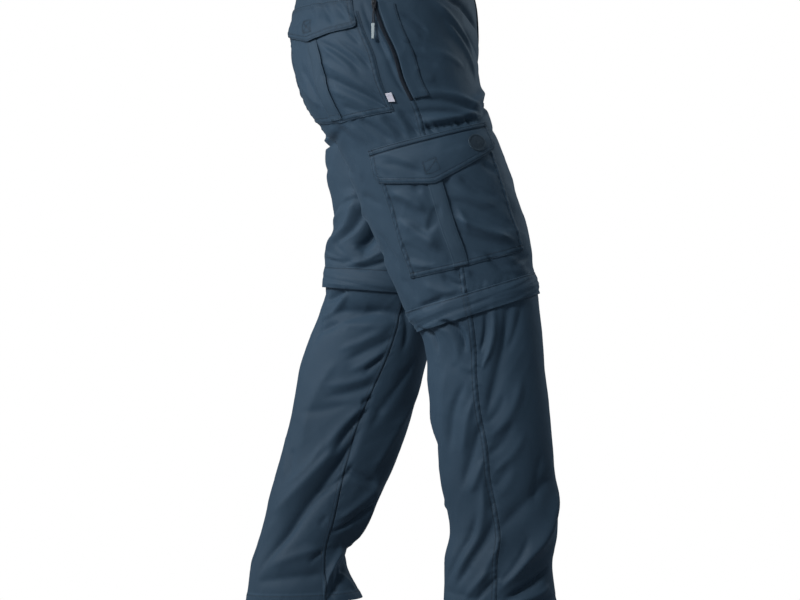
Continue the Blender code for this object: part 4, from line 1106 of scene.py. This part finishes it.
def cargo(side, tag):
    leg = LEGS[side]
    group = "thigh_" + tag
    bag = Laid(BAG_TOP, BAG_FOOT)
    height = bag_height(leg, bag)
    shade = edge_shades(bag, "WE", depth=0.75, seed=5) + edge_shades(bag, "S", depth=0.5, seed=6)
    _, sheet = laid_on("cargo_pocket_" + tag, side, bag, height, 0.9, wear_and_shade=shade)
    sew_edges(group, sheet, bag, "WES")
    read = Sheet(bag.b, bag.a, np.repeat(height[..., None], 3, -1), np.ones((*height.shape, 3)))

    def bag_at(grid):
        places = np.array([bag.shares(g, d) for g, d in zip(grid.g.ravel(), grid.d.ravel())])
        found = read.at(np.clip(places[:, 0], 0, 1), np.clip(places[:, 1], 0, 1))[0][:, 0]
        return found.reshape(grid.g.shape)

    strap = Laid(CARGO_STRAP_TOP, CARGO_STRAP_FOOT, 0.75, 3.0)
    under = bag_at(strap)
    proud = under.mean(axis=1, keepdims=True) * 0.7 + under * 0.3
    ease = step(strap.d, 395, 30) * step(-strap.d, -505, 30)
    height = np.maximum(under, proud) + 1.35 + 1.2 * ease
    height = height - 0.25 * bump(strap.west, 1.8, 0.7) - 0.25 * bump(strap.east, 1.8, 0.7)
    shade = painted_row_shade(strap.west, 2.2, depth=0.3) + painted_row_shade(strap.east, 2.2, depth=0.3)
    _, sheet = laid_on("cargo_strap_" + tag, side, strap, height, 1.2, "webbing", wear_and_shade=shade)
    sew_lines(group, sheet, strap, [(-13.5, 520), (6.0, 521.5)], [(-13.5, 526), (6.0, 527)])

    flap = Laid(CARGO_FLAP_TOP, CARGO_FLAP_FOOT)
    over = step(flap.north, 20, 30)
    middle = -6 + 0.02 * (flap.d - 362)
    height = OUTER + 1.35 + 5.0 * over * (0.5 + 0.5 * bulge(flap.a[None, :] * 0.96 + 0.02, 0.5))
    height = height + 1.5 * step(flap.north, 42, 16) * np.exp(-(((flap.g - middle) / 17) ** 4))
    height = height + edge_folds(flap, 9, 0.3, edges="WES") * 0.9
    height = height + 0.75 * (1 - step(flap.north, 7.4, 1.6)) + 1.6 * groove(flap.north, 8.6, 1.3) + groove(flap.north, 1.8)
    height = height + fold_heights(leg, "flap", flap.g, flap.d)
    height = height + 0.9 * bump(flap.south, 0, 9) * mottle(flap.g / 23, side * 3.3, UNEVEN[3])
    box = [(-16.5, 358), (4.5, 355.5), (6.5, 374), (-15.0, 377.5), (-16.5, 358)]
    crossed = [(-13.5, 374), (3.5, 359)]
    shade = edge_shades(flap, "WES", depth=0.4, seed=9) + painted_row_shade(flap.north, 1.8, depth=0.4) + painted_row_shade(flap.north, 8.6, depth=0.75)
    shade = shade + traced(flap, [box, crossed])
    _, sheet = laid_on("cargo_flap_" + tag, side, flap, height, 1.3, wear_and_shade=shade)
    sew_edges(group, sheet, flap, "WES")
    sew_edges(group, sheet, flap, "N", (1.8, 6.2))
    sew_lines(group, sheet, flap, box, crossed)
    return sheet, flap


def back_pocket(side, tag):
    leg = LEGS[side]
    group = "seat_" + tag
    bag = Laid(BACK_TOP, BACK_FOOT)
    inside = np.clip(np.minimum(np.minimum(bag.west, bag.east), bag.south) / 12, 0, 1)
    height = OUTER + 1.0 + 1.3 * bulge(bag.a[None, :], bag.b[:, None]) + edge_folds(bag, 3, 0.5, edges="WE", live=1.6, reach=7.5) + edge_folds(bag, 4, 0.5, edges="S", live=0.6)
    height = height - (1.7 * bump(bag.g, -134 + 15.5, 6.5) + 1.4 * bump(bag.g, -134 - 15, 5)) * inside * step(bag.d, 165, 20)
    height = np.maximum(height, OUTER + 0.95)
    shade = edge_shades(bag, "WE", depth=0.5, seed=3) + edge_shades(bag, "S", depth=0.4, seed=4)
    _, sheet = laid_on("back_pocket_" + tag, side, bag, height, 0.9, wear_and_shade=shade)
    sew_edges(group, sheet, bag, "WES")
    strap = Laid(BACK_STRAP_TOP, BACK_STRAP_FOOT, 0.75, 3.0)
    ease = step(strap.d, 165, 20) * step(-strap.d, -262, 20)
    height = OUTER + 1.0 + 1.3 + 1.35 + 1.3 * ease + 0.0 * strap.g - 0.25 * bump(strap.west, 1.8, 0.7) - 0.25 * bump(strap.east, 1.8, 0.7)
    shade = painted_row_shade(strap.west, 2.2, depth=0.3) + painted_row_shade(strap.east, 2.2, depth=0.3)
    _, sheet = laid_on("back_pocket_strap_" + tag, side, strap, height, 1.2, "webbing", wear_and_shade=shade)
    sew_lines(group, sheet, strap, [(-124, 272), (-145.5, 272)], [(-124, 278), (-145.5, 278)])
    flap = Laid(BACK_FLAP_TOP, BACK_FLAP_FOOT)
    height = OUTER + 1.35 + 4.6 * step(flap.north, 28, 28)
    height = height + 1.7 * step(flap.north, 36, 14) * np.exp(-(((flap.g + 134) / 19) ** 4))
    height = height + edge_folds(flap, 8, 0.3) * 0.9 + 0.5 * (1 - step(flap.north, 8.6, 1.6)) + groove(flap.north, 1.8)
    height = height + 0.8 * bump(flap.south, 0, 9) * mottle(flap.g / 21, side * 5.3, UNEVEN[3])
    corner = [(-123.5, 122), (-144, 122), (-144, 143), (-123.5, 142), (-123.5, 122)]
    crosses = [(-125, 124), (-142.5, 141)], [(-142.5, 124), (-125, 140)]
    shade = edge_shades(flap, "WES", depth=0.4, seed=8) + painted_row_shade(flap.north, 1.8, depth=0.4)
    shade = shade + traced(flap, [corner, *crosses])
    _, sheet = laid_on("back_pocket_flap_" + tag, side, flap, height, 1.3, wear_and_shade=shade)
    sew_edges(group, sheet, flap, "WES")
    sew_edges(group, sheet, flap, "N", (1.8, 6.6))
    sew_lines(group, sheet, flap, corner, *crosses)


def hand_pocket(side, tag):
    group = "seat_" + tag
    band = Laid(((1.5, 94), (27, 100)), ((-0.9, 260), (25, 257)), 0.6, 2.6)
    height = OUTER + 2.5 + 1.3 * (1 - step(band.west, 7, 14)) + 0.2 * pucker(band.d, 4) * bump(band.east, 2, 5)
    height = height + 0.5 * groove(band.east, 1.6)
    shade = painted_row_shade(band.east, 1.6, depth=0.25) + painted_row_shade(band.south, 1.6, depth=0.3)
    placket, sheet = laid_on("hand_pocket_placket_" + tag, side, band, height, 1.1, wear_and_shade=shade)
    sew_edges(group, sheet, band, "E", (1.6,))
    sew_edges(group, sheet, band, "S", (1.6,))

    zip_strip = Laid(((-7.4, 88), (-1.5, 88)), ((-7.4, 262), (-1.5, 262)), 0.5, 0.8)
    rows = np.arange(0, zip_strip.length, 0.48) / zip_strip.length
    zip_strip.b = np.append(rows, 1.0)
    b = zip_strip.b[:, None]
    zip_strip.g = -7.4 + 5.9 * zip_strip.a[None, :] + 0 * b
    zip_strip.d = 88 + 174 * b + 0 * zip_strip.a[None, :]
    zip_strip.west, zip_strip.east = zip_strip.g + 7.4, -1.5 - zip_strip.g
    zip_strip.north, zip_strip.south = zip_strip.d - 88, 262 - zip_strip.d
    ridge = np.exp(-(((zip_strip.g + 4.75) / 1.7) ** 4))
    teeth = 0.5 + 0.5 * np.cos(2 * math.pi * zip_strip.d / 1.45 + np.sign(zip_strip.g + 4.75) * 1.2)
    split = bump(zip_strip.g, -4.75, 0.35)
    crinkled = 0.5 * pucker(zip_strip.d + 1.5 * zip_strip.g, 14) * bump(zip_strip.west, 0, 2.4)
    height = OUTER + 1.7 + ridge * (0.55 + 0.6 * teeth) - 0.5 * split + crinkled
    tape, _ = laid_on("hand_pocket_zip_" + tag, side, zip_strip, height, 1.2, "zip_tape")


def band(name, side, depths, height, wall, slot="cloth", wear_and_shade=lambda g, d: 0.0, columns=190, replaces=None, rests_on=()):
    """A closed band round a leg. height(g, d, share) is its outer face."""
    leg = LEGS[side]
    depths = np.asarray(depths, float)
    share = np.linspace(-1, 1, columns + 1)[:-1]
    d = np.repeat(depths[:, None], columns, axis=1)
    g = np.where(share[None, :] >= 0, share * leg.reach(d, True), share * leg.reach(d, False))
    lift = height(g, d, share[None, :])
    edge = np.minimum(d - depths[0], depths[-1] - d)
    outer = laid(leg, g, d, lift + roll(edge, wall))
    inner = laid(leg, g, d, lift - wall)
    thing = shell(name, outer, inner, np.stack([g, d], -1), slot, closed=True, wear_and_shade=wear_and_shade(g, d) + 0.35 * bump(edge, 0, 0.9), replaces=replaces or (name,))
    round_it = float((leg.reach(depths, True) + leg.reach(depths, False)).mean())
    # the first column again at the end, so that stitches can run all the way round
    wide = np.concatenate([outer, outer[:, :1]], axis=1)
    return Sheet(depths, np.append(share, 1.0), wide, grid_normals(wide, wide - np.concatenate([inner, inner[:, :1]], axis=1)))


def knee(side, tag):
    leg = LEGS[side]
    group = "knee_" + tag

    def flap_lift(g, d, share):
        down = (d - 570) / 35
        lift = OUTER + 1.35 + 2.5 * step(d, 577, 16)
        middle = 587 + 2.4 * np.sin(g / 41.0 + side)
        lift = lift + 0.3 * bump(d, middle, 2.4) - 0.25 * bump(d, middle + 4.2, 2.4)
        lift = lift + 0.35 * (1 - step(np.where(g < 0, -g, 30), 7.8, 1.6)) * (g < 0) + groove(d, 572.4)
        lift = lift + 0.3 * pucker(g, 7) * bump(d, 573, 5)
        fade = np.clip((1 - np.abs(share)) * 12, 0, 1)
        loose = 2.4 * bump(g, -58 if side == RIGHT else -150, 52) * step(d, 590, 26)
        return lift + (0.5 * mottle(g / 57 + 4 * side, d / 60, UNEVEN[3]) * down + loose) * fade

    depths = np.concatenate([[570, 570.6, 571.3], np.linspace(572.2, 603.2, 16), [603.9, 604.5, 605]])
    def flap_shade(g, d):
        strip = (g < 1) * (1 - step(np.abs(g), 10, 2))
        return painted_row_shade(d, 572.4, depth=0.4) + strip * painted_row_shade(np.abs(g), 1.6, 7.8, depth=0.45, half=1.6) - 0.08 * bump(d, 591.4, 2.5)

    sheet = band("knee_flap_" + tag, side, depths, flap_lift, 1.4, wear_and_shade=flap_shade, rests_on=["front_upper_" + tag, "back_upper_" + tag])
    around = np.linspace(-1, 1, 120)
    sew(group, sheet, around, np.full(120, 572.4))
    for off in (1.6, 7.8):
        share = -off / leg.reach(np.linspace(571, 604, 8), False)
        sew(group, sheet, share, np.linspace(571, 604, 8))

    def zip_lift(g, d, share):
        ridge = np.exp(-(((d - 586.2) / 2.2) ** 4))
        teeth = 0.5 + 0.5 * np.cos(math.pi * np.arange(g.shape[1]) * 1.0)[None, :]
        return OUTER - 0.1 + ridge * (0.35 + 0.5 * teeth) - 0.3 * bump(d, 586.2, 0.4)

    depths = np.concatenate([np.linspace(576.4, 583, 5), np.linspace(583.8, 588.6, 9), np.linspace(589.4, 596, 5)])
    band("knee_zip_" + tag, side, depths, zip_lift, 0.7, "zip_tape", columns=380, rests_on=["front_upper_" + tag, "back_upper_" + tag])


# ---------------------------------------------------------------- waist and fly


def hip_points(turns, d, lifts):
    """Points round the hips. A turn from 1 to -1 is the right half, front to back, from -1 to -3
    the left half, back to front, and past -3 the right front again."""
    points = np.empty((len(turns), 3))
    for k, (turn, lift) in enumerate(zip(turns, lifts)):
        if turn > -1:
            side, u = RIGHT, turn
        elif turn > -3:
            side, u = LEFT, -2 - turn
        else:
            side, u = RIGHT, turn + 4
        points[k] = LEGS[side].at_u(u, d, lift)
    return points


def hip_grid(turns, depths, lift):
    """Grids of points for every depth. Halves are worked out together for speed."""
    turns, depths = np.asarray(turns, float), np.asarray(depths, float)
    u = np.where(turns > -1, turns, np.where(turns > -3, -2 - turns, turns + 4))
    on_left = (turns <= -1) & (turns > -3)
    uu, dd = np.broadcast_arrays(u[None, :], depths[:, None])
    found = {side: LEGS[side].at_u(uu, dd, lift) for side, _ in SIDES}
    return np.where(on_left[None, :, None], found[LEFT], found[RIGHT])


def waist():
    turns = np.concatenate([np.linspace(0.998, -3.18, 330)])
    depths = np.array([0, 0.5, 1.1, 1.8, 2.8, 4.5, 7, 10, 14, 18, 22, 26, 30, 33, 35.5, 37.2, 38.2, 38.9, 39.5, 40])
    under = -1.3 * np.clip((turns - 0.7) / 0.12, 0, 1)
    over = 1.3 * np.clip((-2.55 - turns) / 0.3, 0, 1)
    leg = LEGS[RIGHT]
    run = np.linspace(0, 935, len(turns))
    edge = np.minimum(depths, 40 - depths)[:, None]
    lift = (under + over)[None, :] + 0.95 + 0 * edge
    lift = lift - 0.3 * bump(edge, 1.9, 0.8) + 0.3 * pucker(run, 2)[None, :] * bump(edge, 3, 5)
    lift = lift + 0.35 * mottle(run[None, :] / 37, depths[:, None] / 30, UNEVEN[3])
    lift = lift - 0.5 * np.clip(1 - edge / 0.9, 0, 1) ** 2
    outer = hip_grid(turns, depths, lift)
    inner = hip_grid(turns, depths, lift - 1.9 + 0.8 * np.clip(1 - edge / 0.9, 0, 1) ** 2)
    gd = np.stack(np.broadcast_arrays(run[None, :], depths[:, None]), -1)
    thing = shell("waistband", outer, inner, gd, wear_and_shade=0.5 * bump(edge, 0, 1.0) + 0 * outer[..., 0], replaces=("waistband",))
    sheet = Sheet(depths, run, outer, grid_normals(outer, outer - inner))
    for at in (1.9, 38.1):
        sew("waist", sheet, run[[0, -1]], [at, at])
    sew("waist", sheet, np.full(3, run[-1] - 2.0), [2, 20, 38])

    depths = np.linspace(BAND_HEIGHT + 1.5, 205, 62)
    steps = np.linspace(0, 1, 26)
    unit = 1.0 / leg.reach(depths, True)
    curve_in = 30 * np.clip((depths - 160) / 45, 0, 1) ** 2
    start, stop = -3 + (38 - curve_in) * unit, -3 - 7 * unit
    turns = start[:, None] * (1 - steps) + stop[:, None] * steps
    width = (45 - curve_in)[:, None] * np.ones((1, 26))
    west, east = width * steps, width * (1 - steps)
    north, south = (depths - depths[0])[:, None] + 0 * west, (205 - depths)[:, None] + 0 * west
    lift = OUTER + 1.9 + 0.5 * bump(east, 0, 8) + groove(east, 1.6) + groove(west, 1.8) + groove(west, 7.4) + 0.3 * pucker(depths, 6)[:, None] * bump(west, 4, 7)
    edge = np.minimum(np.minimum(west, east), np.minimum(north, south))
    rows = []
    for face in (lift + roll(edge, 1.1), lift - 1.1):
        points = np.empty((*lift.shape, 3))
        for k, d in enumerate(depths):
            points[k] = hip_points(turns[k], d, face[k])
        rows.append(points)
    outer, inner = rows
    gd = np.stack([west, depths[:, None] + 0 * west], -1)
    thing = shell("fly_flap", outer, inner, gd, wear_and_shade=0.4 * bump(edge, 0, 0.9), replaces=("fly_flap",))
    sheet = Sheet(depths, steps, outer, grid_normals(outer, outer - inner))
    for off in (1.8, 7.4):
        at = off / (45 - 30 * np.clip((depths - 160) / 45, 0, 1) ** 2)
        sew("waist", sheet, np.clip(at, 0, 1), depths)

    steps = np.linspace(0, 1, 19)
    turns = -3 + 14 * unit[:, None] * (1 - 2 * steps)[None, :]
    lift = -5.6 + 0 * turns - 0.9 * np.exp(-(((steps - 0.5) / 0.11) ** 4))[None, :] * (0.8 + 0.2 * np.cos(depths * 2.1))[:, None]
    rows = []
    for face in (lift + 0.6, lift - 0.6):
        points = np.empty((*lift.shape, 3))
        for k, d in enumerate(depths):
            points[k] = hip_points(turns[k], d, face[k])
        rows.append(points)
    gd = np.stack([28 * steps[None, :] + 0 * turns, depths[:, None] + 0 * turns], -1)
    thing = shell("fly_zip", rows[0], rows[1], gd, "zip_tape", replaces=("fly_zip",))


def label():
    """The plain side label, sewn in at the pocket's edge and curling a little off the cloth."""
    grid = Laid(((-38.5, 248), (-28.5, 247)), ((-39.5, 262), (-30, 262.5)), 0.5, 1.1)
    height = OUTER + 3.4 + 0.8 * grid.a[None, :] ** 2 + 0.15 * np.cos(grid.d / 2.2)
    thing, sheet = laid_on("back_pocket_label", RIGHT, grid, height, 0.5, "label")


def round_patch(flap_sheet, flap_grid):
    """The plain round patch on the right thigh flap, edged with satin stitch."""
    radius = 15.0
    radii = np.concatenate([[0.05], np.linspace(2, 12.0, 6), np.linspace(12.4, 14.2, 6), [14.6, 14.85, radius]])
    turns = np.linspace(0, 2 * math.pi, 261)[:-1]
    g = 75 + radii[:, None] * np.cos(turns)[None, :]
    d = 344 + radii[:, None] * np.sin(turns)[None, :]
    places = np.array([flap_grid.shares(x, y) for x, y in zip(g.ravel(), d.ravel())])
    base, out = flap_sheet.at(places[:, 0].reshape(g.shape), places[:, 1].reshape(g.shape))
    rim = step(radii, 12.4, 0.6)[:, None]
    thread = 0.5 + 0.5 * np.cos(65 * 2 * turns / 2)[None, :]
    lift = 0.75 + rim * (0.35 + 0.22 * thread) - 0.5 * np.clip((radii[:, None] - 14.3) / 0.7, 0, 1) ** 2
    outer = base + out * lift[..., None]
    inner = base + out * 0.08
    thing = shell("round_patch", outer, inner, np.stack([g, d], -1), "patch", closed=True, wear_and_shade=rim * 0.6 + 0 * g, replaces=("round_patch",))


# ---------------------------------------------------------------- seams of the panels


def seam_rows(side, tag):
    leg = LEGS[side]
    for level, top, foot in (("upper", 266, 569), ("lower", 598, 1084)):
        sheet = PANELS["back", level, side]
        depths = np.linspace(top, foot, 90)
        reach = leg.reach(depths, False)
        for off in (1.6, 7.8):
            sew(f"{level}_{tag}", sheet, off / reach, depths)
        if level == "upper":
            depths = np.linspace(42, foot, 120)
            reach = leg.reach(depths, False)
        for off in (2.0, 6.8):
            sew(f"{level}_{tag}", sheet, 1 - off / reach, depths)
    for part in ("front", "back"):
        sew(f"lower_{tag}", PANELS[part, "lower", side], [0.0, 0.5, 1.0], np.full(3, PATTERN["hem"] - 11.6))


for side, tag in SIDES:
    sheet, grid = cargo(side, tag)
    if side == RIGHT:
        round_patch(sheet, grid)
    back_pocket(side, tag)
    hand_pocket(side, tag)
    knee(side, tag)
    seam_rows(side, tag)
waist()
label()
for tag in ("R", "L"):
    finish_stitches("stitching_upper_" + tag, ["upper_" + tag, "thigh_" + tag, "seat_" + tag])
    finish_stitches("stitching_lower_" + tag, ["lower_" + tag, "knee_" + tag])
finish_stitches("stitching_waist", ["waist"])

HARD = {"knee_zip_slider": "zip_metal", "zip_slider": "zip_metal", "zip_pull": "zip_metal", "pull_cord": "cord", "pull_tip": "pull_tip", "waist_button": "button"}
for name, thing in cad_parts.items():
    finish = HARD.get(name.rsplit("_", 1)[0]) or HARD.get(name)
    if finish:
        thing.data.materials.clear()
        thing.data.materials.append(FINISH[finish])


# ---------------------------------------------------------------- light, floor and camera


def light(name, place, aim, size, power, colour=(1, 1, 1)):
    data = bpy.data.lights.new(name, "AREA")
    data.shape = "DISK"
    data.size = size
    data.energy = power
    data.color = colour
    thing = bpy.data.objects.new(name, data)
    thing.location = place
    thing.rotation_euler = (Vector(aim) - Vector(place)).to_track_quat("-Z", "Y").to_euler()
    bpy.context.scene.collection.objects.link(thing)
    return thing


light("key", (-2.4, -2.8, 1.7), (0.0, 0.0, -0.55), 1.0, 124)
light("side", (-3.2, -0.9, 1.0), (0.0, 0.0, -0.55), 1.0, 34)
light("rim", (-3.4, 0.4, 0.3), (0.0, 0.0, -0.55), 1.2, 12)
light("back", (2.8, 1.9, 1.0), (0.0, 0.0, -0.5), 1.6, 29, (0.72, 0.88, 1.0))

world = bpy.data.worlds.new("studio")
bpy.context.scene.world = world
world.use_nodes = True
tree = world.node_tree
tree.nodes.clear()
end = tree.nodes.new("ShaderNodeOutputWorld")
seen = tree.nodes.new("ShaderNodeBackground")
seen.inputs["Color"].default_value = (1, 1, 1, 1)
seen.inputs["Strength"].default_value = 1.0
lit = tree.nodes.new("ShaderNodeBackground")
lit.inputs["Color"].default_value = (0.80, 0.92, 1, 1)
lit.inputs["Strength"].default_value = 0.21
path = tree.nodes.new("ShaderNodeLightPath")
pick = tree.nodes.new("ShaderNodeMixShader")
tree.links.new(path.outputs["Is Camera Ray"], pick.inputs["Fac"])
tree.links.new(lit.outputs["Background"], pick.inputs[1])
tree.links.new(seen.outputs["Background"], pick.inputs[2])
tree.links.new(pick.outputs["Shader"], end.inputs["Surface"])

data = bpy.data.meshes.new("floor")
shape = bmesh.new()
bmesh.ops.create_grid(shape, x_segments=2, y_segments=2, size=40)
shape.to_mesh(data)
shape.free()
floor = bpy.data.objects.new("floor", data)
floor.location = (0, 0, -1.12)
bpy.context.scene.collection.objects.link(floor)
made = bpy.data.materials.new("floor")
made.use_nodes = True
tree = made.node_tree
shader = tree.nodes["Principled BSDF"]
shader.inputs["Base Color"].default_value = (0.30, 0.31, 0.33, 1)
shader.inputs["Roughness"].default_value = 0.9
shader.inputs["Specular IOR Level"].default_value = 0.0
glow = tree.nodes.new("ShaderNodeEmission")
path = tree.nodes.new("ShaderNodeLightPath")
pick = tree.nodes.new("ShaderNodeMixShader")
tree.links.new(path.outputs["Is Camera Ray"], pick.inputs["Fac"])
tree.links.new(shader.outputs["BSDF"], pick.inputs[1])
tree.links.new(glow.outputs["Emission"], pick.inputs[2])
tree.links.new(pick.outputs["Shader"], tree.nodes["Material Output"].inputs["Surface"])
data.materials.append(made)

lens = bpy.data.cameras.new("camera")
lens.lens = 111.6
lens.sensor_width = 36
lens.clip_end = 200
camera = bpy.data.objects.new("camera", lens)
camera.location = (0.0226, -4.0, -0.5516)
camera.rotation_euler = (math.pi / 2, 0, 0)
bpy.context.scene.collection.objects.link(camera)
bpy.context.scene.camera = camera
bpy.context.scene.view_settings.view_transform = "Standard"
bpy.context.scene.view_settings.look = "None"
